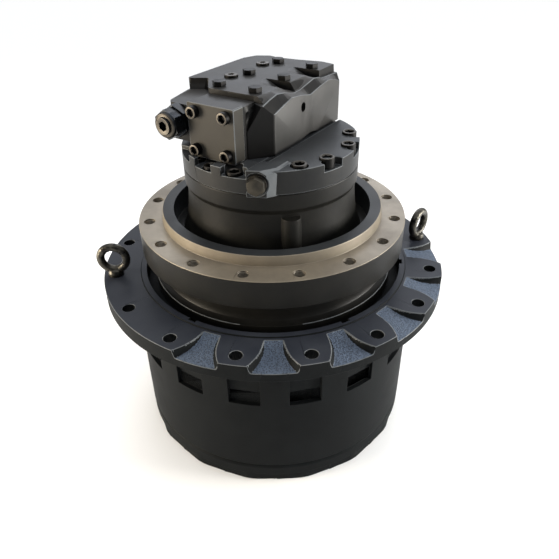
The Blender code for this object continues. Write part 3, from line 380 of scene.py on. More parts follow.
def hexagon_head(work, across, height, where, turn=0.0):
    """Forged hexagon head on a washer face, its crown chamfered."""
    radius = across / math.sqrt(3.0)
    rod(work, across * 0.47, 0.0, 0.0008, where, 32)
    hexed = bmesh.new()
    rod(hexed, radius, 0.0006, height, Matrix.Rotation(turn, 4, "Z"), 6)
    round_edges(hexed, crown_edges(hexed, height), height * 0.14, 2)
    hexed.transform(where)
    mesh = bpy.data.meshes.new("head")
    hexed.to_mesh(mesh)
    work.from_mesh(mesh)
    hexed.free()
    bpy.data.meshes.remove(mesh)


HEAD_ACROSS, HEAD_HIGH = 0.022, 0.0095
cover_heads = bmesh.new()
for k in range(16):
    seat = place_round(SCREW_RING, FIRST_HOLE + (k + 0.5) * SIXTEENTH, SCREW_SEAT_Z)
    hexagon_head(cover_heads, HEAD_ACROSS, HEAD_HIGH, seat @ Matrix.Rotation(math.pi, 4, "X"), 0.3 * k)
shade(as_object("end_cover_screws", cover_heads), black_screws, "drum_side")

# The drum: one ductile iron casting with the ring gear cut into it. Its flange carries the sprocket on machined
# pads, with rough cast recesses between those at the front, and windows are cored into the wall below it.

FLANGE_TOP = 0.3220
FLANGE_R = 0.3065
FLANGE_UNDER = 0.2930
DRUM_R = 0.2570
PAD_CIRCLE = 0.2850
HOLE_R = 0.0105
DRUM_FOOT = 0.0393
LIP_IN, LIP_OUT, LIP_TOP = 0.2310, 0.2420, FLANGE_TOP + 0.002
SEAL_FLOOR = 0.2978
drum = as_object("drum_casting", lathe([
    (LIP_IN, LIP_TOP), (LIP_OUT, LIP_TOP), (LIP_OUT, FLANGE_TOP), (FLANGE_R, FLANGE_TOP), (FLANGE_R, FLANGE_UNDER),
    (DRUM_R, FLANGE_UNDER), (DRUM_R, 0.0440), (DRUM_R - 0.0040, DRUM_FOOT), (0.2060, DRUM_FOOT), (0.2060, 0.1949),
    (0.2053, 0.1949), (0.2053, 0.2839), (0.2123, 0.2839), (0.2123, SEAL_FLOOR), (LIP_IN, SEAL_FLOOR)]))


def ease(x):
    """Smooth step from 0 to 1."""
    x = min(max(x, 0.0), 1.0)
    return x * x * (3.0 - 2.0 * x)


def read_off(table, x):
    """Value at x on a line through (x, value) points."""
    for (a, va), (b, vb) in zip(table, table[1:]):
        if x <= b:
            return va + (vb - va) * max(x - a, 0.0) / (b - a)
    return table[-1][1]


def dished_cutter(lows, highs, cells, top, drop):
    """Cutter with a cast underside: a grid, let down by drop(x, y) from just above a flat top."""
    work = bmesh.new()
    size = Vector(highs) - Vector(lows)
    centre = (Vector(highs) + Vector(lows)) / 2
    place = Matrix.Translation((centre.x, centre.y, 0.0)) @ Matrix.Diagonal((size.x, size.y, 1.0, 1.0))
    bmesh.ops.create_grid(work, x_segments=cells[0], y_segments=cells[1], size=0.5, matrix=place)
    for vert in work.verts:
        vert.co.z = top + 0.0006 - drop(vert.co.x, vert.co.y)
    up = bmesh.ops.extrude_face_region(work, geom=work.faces[:])
    for g in up["geom"]:
        if isinstance(g, bmesh.types.BMVert):
            g.co.z = top + 0.02
    bmesh.ops.recalc_face_normals(work, faces=work.faces)
    return work


# Half width of a recess against its radius, the depth that it starts with, how far it falls over what run, and which
# of the sixteen gaps between the pads have one.
RECESS_HALF = ((0.2462, 0.0172), (0.2550, 0.0177), (0.2640, 0.0188), (0.2730, 0.0208), (0.2810, 0.0236),
               (0.2880, 0.0270), (0.2940, 0.0307), (0.3000, 0.0350), (0.3040, 0.0385), (0.3065, 0.0430),
               (0.3090, 0.0500), (0.3200, 0.0700))
RECESS_START, RECESS_FALL, RECESS_RUN = 0.0010, 0.0136, 0.0600
RECESSES = range(3, 9)
RECESS_LOW, RECESS_HIGH, RECESS_CELLS = (0.2440, -0.0560), (0.3100, 0.0560), (44, 112)


def recess_drop(r, t):
    """Depth of a cast recess: a ramp that falls outwards, between sides that sweep apart, rounded top and foot."""
    ramp = RECESS_START + RECESS_FALL * (r - RECESS_HALF[0][0]) / RECESS_RUN
    sides = ease((read_off(RECESS_HALF, r) + 0.0012 - abs(t)) / 0.0062)
    return max(ramp, 0.0) * sides * ease((r - 0.2450) / 0.0022)


for k in RECESSES:
    cut = dished_cutter(RECESS_LOW, RECESS_HIGH, RECESS_CELLS, FLANGE_TOP, recess_drop)
    cut.transform(Matrix.Rotation(FIRST_HOLE + (k + 0.5) * SIXTEENTH, 4, "Z"))
    carve(drum, cut)

# A window is a shallow pocket in the wall with a deeper one at its foot: size, place outwards, height of its middle.
WINDOW_STEPS = (((0.030, 0.053, 0.0975), 0.0070, 0.24025), ((0.036, 0.052, 0.0225), -0.006, 0.20325))
for size, outwards, middle in WINDOW_STEPS:
    windows = bmesh.new()
    for k in range(16):
        block(windows, size, place_round(DRUM_R + outwards, FIRST_HOLE + k * SIXTEENTH, middle))
    carve(drum, windows)
holes = bmesh.new()
for k in range(16):
    rod(holes, HOLE_R, 0.28, 0.33, place_round(PAD_CIRCLE, FIRST_HOLE + k * SIXTEENTH), 40)
carve(drum, holes)
NOTCH_SIZE = (0.010, 0.013, 0.020)
notches = bmesh.new()
for azimuth in (52.0, 124.0, 172.0, 237.0, 299.0, 352.0):
    block(notches, NOTCH_SIZE, place_round(LIP_IN, math.radians(azimuth), FLANGE_TOP))
carve(drum, notches)
soften(drum, 0.0008, 2, 38.0, 0.0004, 3)

# Nothing that the rounding pushed out stands past the turned rim of the flange.
for vert in drum.data.vertices:
    reach = math.hypot(*vert.co.xy)
    if reach > FLANGE_R:
        vert.co.xy *= FLANGE_R / reach

# Pad tops: a lighter, bluer copy of the drum enamel, painted top light and sky reflection.
pad_top_light_paint = sprayed_iron("pads_with_painted_top_light_and_sky", "#282b32", "#33363c", 0.45, 0.9, 0.08)


def rough_recess(name):
    """Sand-cast floor left as it came from the mould: coarse grains of 2 to 3 mm, drawn a little larger than the real
    sand so that they show. The sky that the grains catch is painted as lighter blue-grey specks, and the floor's
    blue-grey tone is painted sky reflection."""
    mat = sprayed_iron(name, "#2b3038", "#3c434d", 0.45, 2.6, 1.0, 0.2)
    t = mat.node_tree
    shader = t.nodes["Principled BSDF"]
    where = node(t, "ShaderNodeTexCoord").outputs["Object"]
    grains = node(t, "ShaderNodeTexVoronoi", [("Vector", where)], in_Scale=420.0)
    fine = shader.inputs["Normal"].links[0].from_socket
    lift = node(t, "ShaderNodeBump", [("Height", grains.outputs["Distance"]), ("Normal", fine)], in_Strength=0.8,
                in_Distance=0.0012)
    t.links.new(lift.outputs["Normal"], shader.inputs["Normal"])
    under = shader.inputs["Base Color"].links[0].from_socket
    bright = node(t, "ShaderNodeMapRange", [("Value", grains.outputs["Distance"])], in_1=0.15, in_2=0.62)
    # Painted glints: lighter blue-grey specks for the sky caught by the grains.
    painted_glint = node(t, "ShaderNodeMix", [("Factor", bright.outputs["Result"]), (6, under)], data_type="RGBA")
    painted_glint.inputs[7].default_value = ink("#505b6b")
    t.links.new(painted_glint.outputs[2], shader.inputs["Base Color"])
    return mat


recess_floor_painted_sky = rough_recess("sand_cast_recess_with_painted_sky_glints")
# Lighter enamel on the rounded edges, chamfers and slopes: a painted highlight for the light that these edges catch.
edge_highlight_paint = sprayed_iron("enamel_with_painted_edge_highlights", "#55595c", "#6b6d6e", 0.36, 0.9, 0.1)
PAD_SKIN = 0.0005
RECESS_DEPTH = 0.017
PADS_START = 0.2445


def drum_finish(face):
    """Pads 1, in a lighter blue-grey enamel that is painted top light and sky; recess floors 2; painted edge
    highlights on both 3; the rest 0.
    """
    below = FLANGE_TOP - face.center.z
    if below > RECESS_DEPTH:
        return 0
    if face.normal.z > 0.995 and below < PAD_SKIN:
        return 1
    if face.normal.z > 0.93 and below > PAD_SKIN:
        return 2
    # Rounded and sloping faces along the pads and recesses take the painted edge highlight.
    rolled = 0.3 < face.normal.z < 0.97 and below < 0.0017
    return 3 if (rolled or face.material_index == 3) and math.hypot(*face.center.xy) > PADS_START else 0


mark_faces(drum, drum_finish)
shade(drum, [drum_enamel, pad_top_light_paint, recess_floor_painted_sky, edge_highlight_paint], "drum_side", ["drum_housing"], angle=0)

# Ring gear: forty-eight internal teeth of module 8, shaped into a ring of case-hardened steel in the drum's bore.
# Both planet stages run in it, so it is as long as the two of them.


def ground_steel(name, colour, rough):
    """Ground and case-hardened steel: fine lay of the wheel, a warm grey shine. The lay is finer than it can
    show, so it is drawn at 4 to 5 mm."""
    mat, t, shader, where = new_finish(name)
    shader.inputs["Metallic"].default_value = 1.0
    lay = node(t, "ShaderNodeTexNoise", [("Vector", where)], in_Scale=220.0, in_Detail=4.0)
    tone = node(t, "ShaderNodeMix", [("Factor", lay.outputs["Fac"])], data_type="RGBA")
    tone.inputs[6].default_value = ink(colour)
    tone.inputs[7].default_value = tuple(c * 0.72 for c in ink(colour)[:3]) + (1.0,)
    dull = node(t, "ShaderNodeMapRange", [("Value", lay.outputs["Fac"])], in_1=0.3, in_2=0.7, in_3=rough - 0.05,
                in_4=rough + 0.1)
    bump = node(t, "ShaderNodeBump", [("Height", lay.outputs["Fac"])], in_Strength=0.06, in_Distance=0.0002)
    wire(t, shader, tone.outputs[2], dull, bump)
    return mat


gear_steel = ground_steel("case_hardened_gear_steel", "#86827b", 0.32)
GEAR_MODULE = 0.0080
RING_TEETH = 48
ring_pitch = GEAR_MODULE * RING_TEETH / 2
half_root = math.pi / RING_TEETH / 2 + 0.0009 / ring_pitch
tooth_tip = ring_pitch - 0.95 * GEAR_MODULE
RING_R, RING_FOOT, RING_TOP = 0.2058, 0.0394, 0.1654
ring_gear = as_object("ring_gear_teeth", lathe([
    (RING_R, RING_FOOT), (RING_R, RING_TOP), (tooth_tip, 0.1634), (tooth_tip, RING_FOOT)], 96))
spaces = []
for k in range(RING_TEETH):
    for radius, side in ((ring_pitch - 0.0096, -1.26), (ring_pitch + 0.0100, -0.62),
                         (ring_pitch + 0.0100, 0.62), (ring_pitch - 0.0096, 1.26)):
        turn = math.tau * k / RING_TEETH + side * half_root
        spaces.append((radius * math.cos(turn), radius * math.sin(turn)))
carve(ring_gear, prism(spaces, 0.030, 0.170))
shade(ring_gear, gear_steel, "drum_side")

# The spindle: the fixed casting that bolts to the track frame. Its flange is turned bright and left bare with an
# oil film; the motor case, skirt, neck and seal collar are sprayed black.

FRAME_TOP = 0.4178
FRAME_R = 0.2320
FRAME_UNDER = 0.3690
FRAME_CIRCLE = 0.2136
FRAME_FIRST = math.radians(168.5)
SPIGOT_R = 0.1900
SPIGOT_TOP = 0.4355
BOWL_R, BOWL_FLOOR = 0.1703, 0.3960
CASE_R = 0.1460
CASE_TOP = 0.5130
COLLAR_R, COLLAR_TOP = 0.2140, 0.3220
PIN_R, PIN_CIRCLE = 0.0280, 0.128
BOSS_R, BOSS_TOP_R, BOSS_TOP, BOSS_CIRCLE, BOSS_AZ = 0.0165, 0.0150, 0.4740, 0.1420, math.radians(282.4)
FRAME_HOLE_R = 0.0093
spindle = as_object("spindle_casting", lathe([
    (0.1220, CASE_TOP), (0.1448, CASE_TOP), (CASE_R, 0.5118), (CASE_R, 0.4870, 0.002), (0.1418, 0.4800, 0.002),
    (0.1424, 0.4640), (0.1450, 0.4380), (0.1500, 0.4120, 0.010), (0.1530, 0.4010), (0.1560, BOWL_FLOOR),
    (BOWL_R, BOWL_FLOOR), (BOWL_R, SPIGOT_TOP), (SPIGOT_R, SPIGOT_TOP), (SPIGOT_R + 0.0012, FRAME_TOP),
    (FRAME_R, FRAME_TOP), (FRAME_R, FRAME_UNDER), (0.2090, FRAME_UNDER), (0.2020, 0.3640), (0.2000, 0.3560),
    (0.2000, 0.3340), (0.2030, 0.3260), (0.2095, COLLAR_TOP), (COLLAR_R, COLLAR_TOP), (COLLAR_R, 0.3005),
    (0.1880, 0.3005), (0.1880, 0.2805), (0.1600, 0.2805), (0.1600, 0.1982), (0.1570, 0.1982), (0.1570, 0.1622),
    (0.0400, 0.1622), (0.0400, 0.3020), (0.0453, 0.3020), (0.0453, 0.3300), (0.1040, 0.3300), (0.1040, 0.4437),
    (0.1220, 0.4437)], 256))
pins = bmesh.new()
for k in range(4):
    rod(pins, PIN_R, 0.1009, 0.1700, place_round(PIN_CIRCLE, math.radians(45 + 90 * k)))
carve(spindle, pins, "UNION")
boss = bmesh.new()
rod(boss, BOSS_R, 0.394, BOSS_TOP, place_round(BOSS_CIRCLE, BOSS_AZ), 48, BOSS_TOP_R)
carve(spindle, boss, "UNION")
frame_holes = bmesh.new()
for k in range(16):
    rod(frame_holes, FRAME_HOLE_R, 0.36, 0.43, place_round(FRAME_CIRCLE, FRAME_FIRST + k * SIXTEENTH), 40)
carve(spindle, frame_holes)
soften(spindle, 0.0010, 2, 35.0)


def turned_iron(name, light, dark, rough):
    """Bare cast iron faced on a lathe: fine rings of the tool 0.4 mm apart, drawn at 1 mm so that they show,
    under a thin brown film of oil."""
    mat, t, shader, where = new_finish(name)
    shader.inputs["Metallic"].default_value = 0.30
    rings = node(t, "ShaderNodeTexWave", [("Vector", where)], wave_type="RINGS", rings_direction="Z", in_Scale=320.0,
                 in_Distortion=0.4, in_Detail=1.0)
    film = node(t, "ShaderNodeTexNoise", [("Vector", where)], in_Scale=9.0, in_Detail=6.0, in_Roughness=0.62)
    tone = node(t, "ShaderNodeValToRGB", [("Fac", film.outputs["Fac"])])
    tone.color_ramp.elements[0].position = 0.35
    tone.color_ramp.elements[0].color = ink(dark)
    tone.color_ramp.elements[1].position = 0.70
    tone.color_ramp.elements[1].color = ink(light)
    dull = node(t, "ShaderNodeMapRange", [("Value", film.outputs["Fac"])], in_1=0.3, in_2=0.7, in_3=rough + 0.08,
                in_4=rough - 0.06)
    bump = node(t, "ShaderNodeBump", [("Height", rings.outputs["Fac"])], in_Strength=0.12, in_Distance=0.0003)
    wire(t, shader, tone.outputs["Color"], dull, bump)
    return mat


case_enamel = sprayed_iron("black_enamel_on_case", "#111110", "#1a1916", 0.40, 1.8, 0.26)
facing = turned_iron("turned_flange_iron", "#877e6e", "#6b6356", 0.42)
# Where the seal collar's edge has no painted highlight, in degrees.
COLLAR_HIGHLIGHT_BREAK = (256.0, 283.0)


def spindle_finish(face):
    """Bare turned metal 1 on the frame flange's top and the spigot's side, a painted edge highlight 2 round the seal
    collar, a lighter grey enamel 3 on the spigot's top and inner wall that is painted fill light, enamel 0 elsewhere."""
    near = min(math.hypot(*spindle.data.vertices[v].co.xy) for v in face.vertices)
    height = face.center.z
    if FRAME_TOP - 0.0012 < height < SPIGOT_TOP and near > SPIGOT_R - 0.0011:
        return 1
    turn = math.degrees(math.atan2(face.center.y, face.center.x)) % 360.0
    # The collar's edge carries the painted highlight everywhere outside the break.
    worn = not COLLAR_HIGHLIGHT_BREAK[0] < turn < COLLAR_HIGHLIGHT_BREAK[1]
    if worn and near > COLLAR_R - 0.0022 and 0.3190 < height < COLLAR_TOP + 0.0002 and 0.1 < face.normal.z < 0.97:
        return 2
    return 3 if BOWL_R - 0.0008 < near < SPIGOT_R and height > BOWL_FLOOR + 0.0010 else 0


mark_faces(spindle, spindle_finish)
# Lighter than the case enamel on the spigot's top and the bowl's inner wall: painted fill light where the bowl lies in
# shade.
spigot_fill_light_paint = sprayed_iron("spigot_and_bowl_with_painted_fill_light", "#292b2d", "#333536", 0.42, 1.5, 0.16)
shade(spindle, [case_enamel, facing, edge_highlight_paint, spigot_fill_light_paint], "spindle_side",
      ["spindle_housing"], angle=0)

# Threads of the sixteen holes for the frame screws: M20 with a pitch of 2.5 mm, tapped through the flange. They
# are bare metal, and drawn as rings, because the pitch's climb is too small to see.
THREAD_START = FRAME_TOP - 0.0018
HALF_PITCH = 0.00125
THREAD_FLANKS = 34
threads = bmesh.new()
flanks = [(0.0094 - (0.0009 if k % 2 else 0.0), THREAD_START - HALF_PITCH * k) for k in range(THREAD_FLANKS)]
single = bmesh.new()
line = [single.verts.new((r, 0.0, z)) for r, z in
        [(0.00935, THREAD_START)] + flanks + [(0.00935, THREAD_START - HALF_PITCH * THREAD_FLANKS)]]
for a, b in zip(line, line[1:]):
    single.edges.new((a, b))
bmesh.ops.spin(single, geom=single.verts[:] + single.edges[:], cent=(0, 0, 0), axis=AXIS, angle=math.tau, steps=20,
               use_merge=True)
bmesh.ops.recalc_face_normals(single, faces=single.faces)
bmesh.ops.reverse_faces(single, faces=single.faces)
one_thread = bpy.data.meshes.new("thread")
single.to_mesh(one_thread)
single.free()
for k in range(16):
    before = set(threads.verts)
    threads.from_mesh(one_thread)
    fresh = [v for v in threads.verts if v not in before]
    bmesh.ops.transform(threads, matrix=place_round(FRAME_CIRCLE, FRAME_FIRST + k * SIXTEENTH), verts=fresh)
bpy.data.meshes.remove(one_thread)
shade(as_object("frame_hole_threads", threads), facing, "spindle_side")

# Rear cover of the motor: a cast disc with a machined seat for the valve block, pockets in its rim for the socket
# screws, and a lug with a port plug at the front.

BLOCK_AZ = math.radians(56.6)
E_R = Vector((math.sin(BLOCK_AZ), -math.cos(BLOCK_AZ), 0.0))
E_B = Vector((math.cos(BLOCK_AZ), math.sin(BLOCK_AZ), 0.0))
BLOCK_FRAME = Matrix.Rotation(BLOCK_AZ - math.pi / 2, 4, "Z")
REAR_Z = 0.5133
REAR_TOP = 0.5503
SEAT_DEPTH = 0.0060
SEAT_RIGHT = 0.055
POCKET_Z = REAR_TOP - 0.0125
rear = as_object("rear_cover_casting", lathe([
    (0.0, REAR_TOP), (CASE_R, REAR_TOP), (CASE_R, REAR_Z), (0.0800, REAR_Z), (0.0800, REAR_Z - 0.009),
    (0.0145, REAR_Z - 0.009), (0.0145, REAR_Z + 0.0065), (0.0, REAR_Z + 0.0065)]))

# The lug at the front: its face square to its own direction, its sides run back under the valve block.
LUG_AZ = math.radians(262.3)
LUG_OUT = 0.1516
LUG_RISE = 0.0036
lug_out = Vector((math.cos(LUG_AZ), math.sin(LUG_AZ), 0.0))
lug_side = Vector((-lug_out.y, lug_out.x, 0.0))
lug_left = lug_out * LUG_OUT - lug_side * 0.0155
lug_right = lug_out * LUG_OUT + lug_side * 0.0150
lug_corner = lug_right + lug_side * 0.0175 - lug_out * 0.0115
lug_back = lug_corner + E_B * 0.036
lug = prism([tuple(p.xy) for p in (lug_left, lug_right, lug_corner, lug_back, lug_left + E_B * 0.040)],
            REAR_Z - 0.0015, REAR_TOP + LUG_RISE)


def on_right(vert):
    """Whether a corner of the lug's top is one of those along its right side."""
    return vert.co.z > REAR_TOP and min((vert.co.xy - q.xy).length for q in (lug_right, lug_corner, lug_back)) < 0.0005


carve(rear, round_edges(lug, [e for e in lug.edges if all(on_right(v) for v in e.verts)], 0.0058, 1), "UNION")
PORT_PLACE = (Matrix.Translation(lug_out * LUG_OUT + Vector((0.0, 0.0, REAR_TOP - 0.0180)))
              @ Matrix.Rotation(LUG_AZ + math.pi / 2, 4, "Z") @ Matrix.Rotation(math.pi / 2, 4, "X"))
port_seat = bmesh.new()
rod(port_seat, 0.0182, -0.0030, 0.0100, PORT_PLACE, 48)
carve(rear, port_seat)

# The milled seat of the valve block, its edge worn to a slope, and the trough before it.
seat = bmesh.new()
block(seat, (0.2550, 0.28, 0.02),
      BLOCK_FRAME @ Matrix.Translation(((SEAT_RIGHT - 0.20) / 2, 0.0400, REAR_TOP - SEAT_DEPTH + 0.01)))
carve(rear, seat)
seat_edge = bmesh.new()
block(seat_edge, (0.020, 0.28, 0.010), BLOCK_FRAME @ Matrix.Translation((0.0474, 0.0400, REAR_TOP + 0.0013))
      @ Matrix.Rotation(math.radians(-20.0), 4, "Y"))
carve(rear, seat_edge)
trough = bmesh.new()
block(trough, (0.150, 0.038, 0.02), BLOCK_FRAME @ Matrix.Translation((-0.050, -0.112, POCKET_Z + 0.01)))
carve(rear, trough)

# Pockets in the rim, each open to the side, and the spot faces under the screws; the first three lie deeper.
SCREW_CIRCLE = 0.1310
SCREW_AZ = (209.0, 227.0, 246.0, 289.0, 310.5, 340.0, 4.0)
DEEPER = 0.0120
SPOT_R = 0.0140
POCKETS = ((202.0, 0.033), (225.2, 0.0375), (248.0, 0.040), (310.9, 0.0375), (340.3, 0.0375), (4.0, 0.0375))
for azimuth, width in POCKETS:
    pocket = bmesh.new()
    block(pocket, (0.034, width, 0.03), place_round(0.1480, math.radians(azimuth), POCKET_Z + 0.015))
    inner = [e for e in pocket.edges if upright(e) and math.hypot(*e.verts[0].co.xy) < 0.14]
    carve(rear, round_edges(pocket, inner, 0.009, 5))
for azimuths, low in ((SCREW_AZ[3:4], 0.0), (SCREW_AZ[:3], DEEPER)):
    wells = bmesh.new()
    for azimuth in azimuths:
        rod(wells, SPOT_R, POCKET_Z - low, REAR_TOP + 0.01, place_round(SCREW_CIRCLE, math.radians(azimuth)), 40)
    carve(rear, wells)
soften(rear, 0.0009, 2, 38.0, 0.0005, 1)
cover_enamel = sprayed_iron("black_enamel_on_rear_cover", "#1e1f20", "#282827", 0.38, 1.5, 0.16)
# Lighter copy of the cover enamel for the top faces: painted top light.
cover_top_light_paint = sprayed_iron("rear_cover_top_with_painted_light", "#303234", "#3b3d3f", 0.42, 1.5, 0.16)


def rear_finish(face):
    """Top 2, in a lighter enamel that is painted top light; painted edge highlights 1 on the edges, the slopes at the
    seat and the lug's right side; the sides 0.
    """
    if face.normal.z > 0.975:
        return 2
    if 0.5 < face.normal.z < 0.85 and face.area > 0.000012:
        return 1
    if 0.88 < face.normal.z < 0.97 and abs(face.center.dot(E_R) - SEAT_RIGHT - 0.0015) < 0.0030:
        return 1
    # The lug's right side takes the painted edge highlight, as painted light on that face.
    if face.normal.dot(lug_side) > 0.5 and face.center.dot(lug_out) > 0.1430 and face.center.dot(lug_side) > 0.0140:
        return 1
    return None


mark_faces(rear, rear_finish)
shade(rear, [cover_enamel, edge_highlight_paint, cover_top_light_paint], "spindle_side", ["rear_cover"], angle=0)

# Socket head cap screws of the rear cover: M16, cold-formed from alloy steel and blackened. The oxide is worn off
# the flat ring at the top of each head, where the key slips; the knurl on its side is too fine to draw.
rim_steel = oiled_steel("worn_socket_rim", "#3e3b37", 0.34, worn="#45423d")


def socket_head(name, radius, height, socket, where, stands_for):
    """Cap screw head with a hexagon socket; the flat ring round the socket is worn."""
    work = bmesh.new()
    rod(work, radius, 0.0, height, sides=48)
    head = as_object(name, round_edges(work, crown_edges(work, height), radius * 0.10))
    hole = bmesh.new()
    rod(hole, socket, height * 0.4, height + 0.01, sides=6)
    carve(head, hole)
    funnel = bmesh.new()
    rod(funnel, socket * 0.8, height - 0.0022, height + 0.0001, sides=32, top=socket * 1.10)
    carve(head, funnel)
    mark_faces(head, lambda p: 1 if p.normal.z > 0.35 and p.center.z > height - radius * 0.11 else 0)
    head.data.transform(where)
    shade(head, [black_screws, rim_steel], "spindle_side", stands_for)


COVER_SCREW = (0.0120, 0.0160, 0.0080)
for k, azimuth in enumerate(SCREW_AZ):
    low = DEEPER if k < 3 else 0.0
    socket_head("cover_cap_screw_%d" % (k + 1), *COVER_SCREW,
                place_round(SCREW_CIRCLE, math.radians(azimuth), POCKET_Z + 0.0003 - low),
                ["cover_screw_%d" % (k + 1)])

# Port plug in the lug: a turned steel plug with a hexagon of 25 mm on a round flange, phosphated grey-brown. It
# screws into the port's spot face against a seal.
PLUG_ACROSS, PLUG_HIGH, PLUG_FLANGE_R = 0.0250, 0.0100, 0.0150
plug = bmesh.new()
rod(plug, PLUG_FLANGE_R, -0.0028, 0.0010, sides=48)
hexagon_head(plug, PLUG_ACROSS, PLUG_HIGH, Matrix.Translation((0.0, 0.0, 0.0006)), 0.05)
lug_plug = as_object("lug_port_plug", plug)
lug_plug.data.transform(PORT_PLACE)
plug_steel = oiled_steel("phosphated_plug_steel", "#48443c", 0.42)
shade(lug_plug, plug_steel, "spindle_side", ["lug_plug"])

# Valve block: an iron casting with the counterbalance and relief valves, its lid face and right side machined,
# a rolling cast edge between them and three bosses for the lid bolts.

BLOCK_Z = 0.5446
LID_TOP = 0.6346
BLOCK_RIGHT = 0.0460
PLATE_BACK = -0.0937


def uv(points):
    """Block directions, u to the right face and v to the back, as world (x, y)."""
    return [tuple((E_R * u + E_B * v).xy) for u, v in points]


def at(u, v, z):
    """Place in the block's directions, as a world point."""
    return E_R * u + E_B * v + Vector((0, 0, z))


def round_corners(work, width):
    """Rounds the upright edges of a prism."""
    return round_edges(work, [e for e in work.edges if upright(e)], width)


BLOCK_OUTLINE = [
    (-0.0700, -0.0650), (0.0170, -0.0640), (0.0170, -0.0900), (BLOCK_RIGHT, -0.0560), (BLOCK_RIGHT, 0.1500),
    (0.0340, 0.1600), (0.0, 0.1680), (-0.0450, 0.1590), (-0.0850, 0.1550), (-0.1050, 0.1600), (-0.1280, 0.1480),
    (-0.1380, 0.1220), (-0.1380, -0.0310), (-0.1340, -0.0350), (-0.1060, -0.0190)]
main = as_object("valve_block_casting", round_corners(prism(uv(BLOCK_OUTLINE), BLOCK_Z, LID_TOP), 0.0030))

# Depth of the rolling edge below the lid, against v: where the machined lid ends, and at the right face.
EDGE_IN = ((-0.120, 0.030), (-0.105, 0.026), (-0.070, 0.0115), (-0.050, 0.0062), (-0.031, 0.0030), (-0.010, 0.0062),
           (0.008, 0.0115), (0.019, 0.0136), (0.036, 0.0128), (0.055, 0.0090), (0.080, 0.0046), (0.094, 0.0066),
           (0.106, 0.0102), (0.140, 0.0115), (0.200, 0.0140))
EDGE_OUT = ((-0.120, 0.050), (-0.105, 0.043), (-0.056, 0.0275), (-0.030, 0.0200), (-0.007, 0.0138), (0.020, 0.0165),
            (0.050, 0.0232), (0.080, 0.0175), (0.107, 0.0128), (0.125, 0.0155), (0.142, 0.0210), (0.200, 0.0500))
CHAMFER_U = 0.034
WELL_DEPTH = 0.0125


def lid_drop(u, v):
    """How far the cast top lies below the lid face: ramps before the second and third bolt, then a wavy chamfer."""
    if u > CHAMFER_U:
        return read_off(EDGE_IN, v) + (read_off(EDGE_OUT, v) - read_off(EDGE_IN, v)) * (u - CHAMFER_U) / 0.012
    first = WELL_DEPTH * ease((v + 0.014) / 0.038) * (1.0 - ease((v - 0.0244) / 0.0012))
    second = WELL_DEPTH * ease((v - 0.068) / 0.038) * (1.0 - ease((v - 0.1094) / 0.0012))
    ramp = (first + second) * ease((u + 0.030) / 0.040)
    if v > 0.109:
        side = ease((u - 0.0262) / 0.0015)
    else:
        side = ease((u - 0.0190) / 0.0150)
    if v < -0.064:
        side = 1.0
    return ramp * (1.0 - side) + (read_off(EDGE_IN, v) + 0.0006) * side


ROOF_LOW, ROOF_HIGH, ROOF_CELLS = (-0.0330, -0.1200), (0.0580, 0.1800), (182, 300)
roof = dished_cutter(ROOF_LOW, ROOF_HIGH, ROOF_CELLS, LID_TOP, lid_drop)
roof.transform(BLOCK_FRAME)
carve(main, roof)

# The body behind the side plate and the boss of the relief valve, cast on; the valley between the first and the
# block's corner; and the hollow under the right side.
PLATE_BODY = [(-0.0700, PLATE_BACK), (0.0170, PLATE_BACK), (0.0170, -0.0620), (-0.0700, -0.0620)]
PLATE_BODY_TOP = 0.6261
carve(main, prism(uv(PLATE_BODY), BLOCK_Z, PLATE_BODY_TOP), "UNION")
RELIEF_BOSS = [(-0.1220, -0.0960), (-0.1150, -0.1040), (-0.0710, -0.1040), (-0.0670, -0.0300), (-0.1360, -0.0200),
               (-0.1360, -0.0360)]
carve(main, round_corners(prism(uv(RELIEF_BOSS), BLOCK_Z + 0.014, LID_TOP - 0.0180), 0.003), "UNION")
VALLEY = ((0.0174, -0.0662, -0.0205), (0.0174, -0.0662, 0.01), (0.0174, -0.0945, -0.0560), (0.0340, -0.0717, -0.0120),
          (0.0340, -0.0717, 0.01), (0.0174, -0.1200, -0.0560), (0.0174, -0.1200, 0.01), (0.0340, -0.1200, -0.0400),
          (0.0340, -0.1200, 0.01))
valley = bmesh.new()
for u, v, rise in VALLEY:
    valley.verts.new(at(u, v, LID_TOP + rise))
bmesh.ops.convex_hull(valley, input=valley.verts)
bmesh.ops.recalc_face_normals(valley, faces=valley.faces)
carve(main, valley)
ARCH_R, ARCH_HIGH = 0.0690, 0.0055
arch = bmesh.new()
rod(arch, ARCH_R, -0.020, 0.020, Matrix.Translation(at(0.040, 0.050, BLOCK_Z + ARCH_HIGH - ARCH_R)) @ BLOCK_FRAME
    @ Matrix.Rotation(math.pi / 2, 4, "Y"), 96)
carve(main, arch)
soften(main, 0.0007, 2, 42.0, 0.0005, 3, True)

# Bores of the spool, the relief valve and the two ports at the back: u, height, radius, and v from and to.
SPOOL_U, SPOOL_Z = -0.0265, 0.5861
RELIEF_U, RELIEF_Z = -0.0970, 0.5926
PORT_Z = 0.5821
BORES = ((SPOOL_U, SPOOL_Z, 0.0166, PLATE_BACK - 0.01, 0.080), (RELIEF_U, RELIEF_Z, 0.0125, -0.114, -0.064),
         (-0.0900, PORT_Z, 0.0150, 0.121, 0.176), (-0.0400, PORT_Z, 0.0150, 0.121, 0.176))
bores = bmesh.new()
for u, z, radius, v0, v1 in BORES:
    rod(bores, radius, -(v1 - v0) / 2, (v1 - v0) / 2, Matrix.Translation(at(u, (v0 + v1) / 2, z)) @ BLOCK_FRAME
        @ Matrix.Rotation(math.pi / 2, 4, "X"), 40)
carve(main, bores)
SLOT_R, SLOT_HALF = 0.0064, 0.0012
turns = [math.tau * (k + 0.5) / 32 for k in range(32)]
port = prism([(SLOT_R * math.cos(a), SLOT_R * math.sin(a) + (SLOT_HALF if math.sin(a) > 0 else -SLOT_HALF))
              for a in turns], -0.012, 0.012)
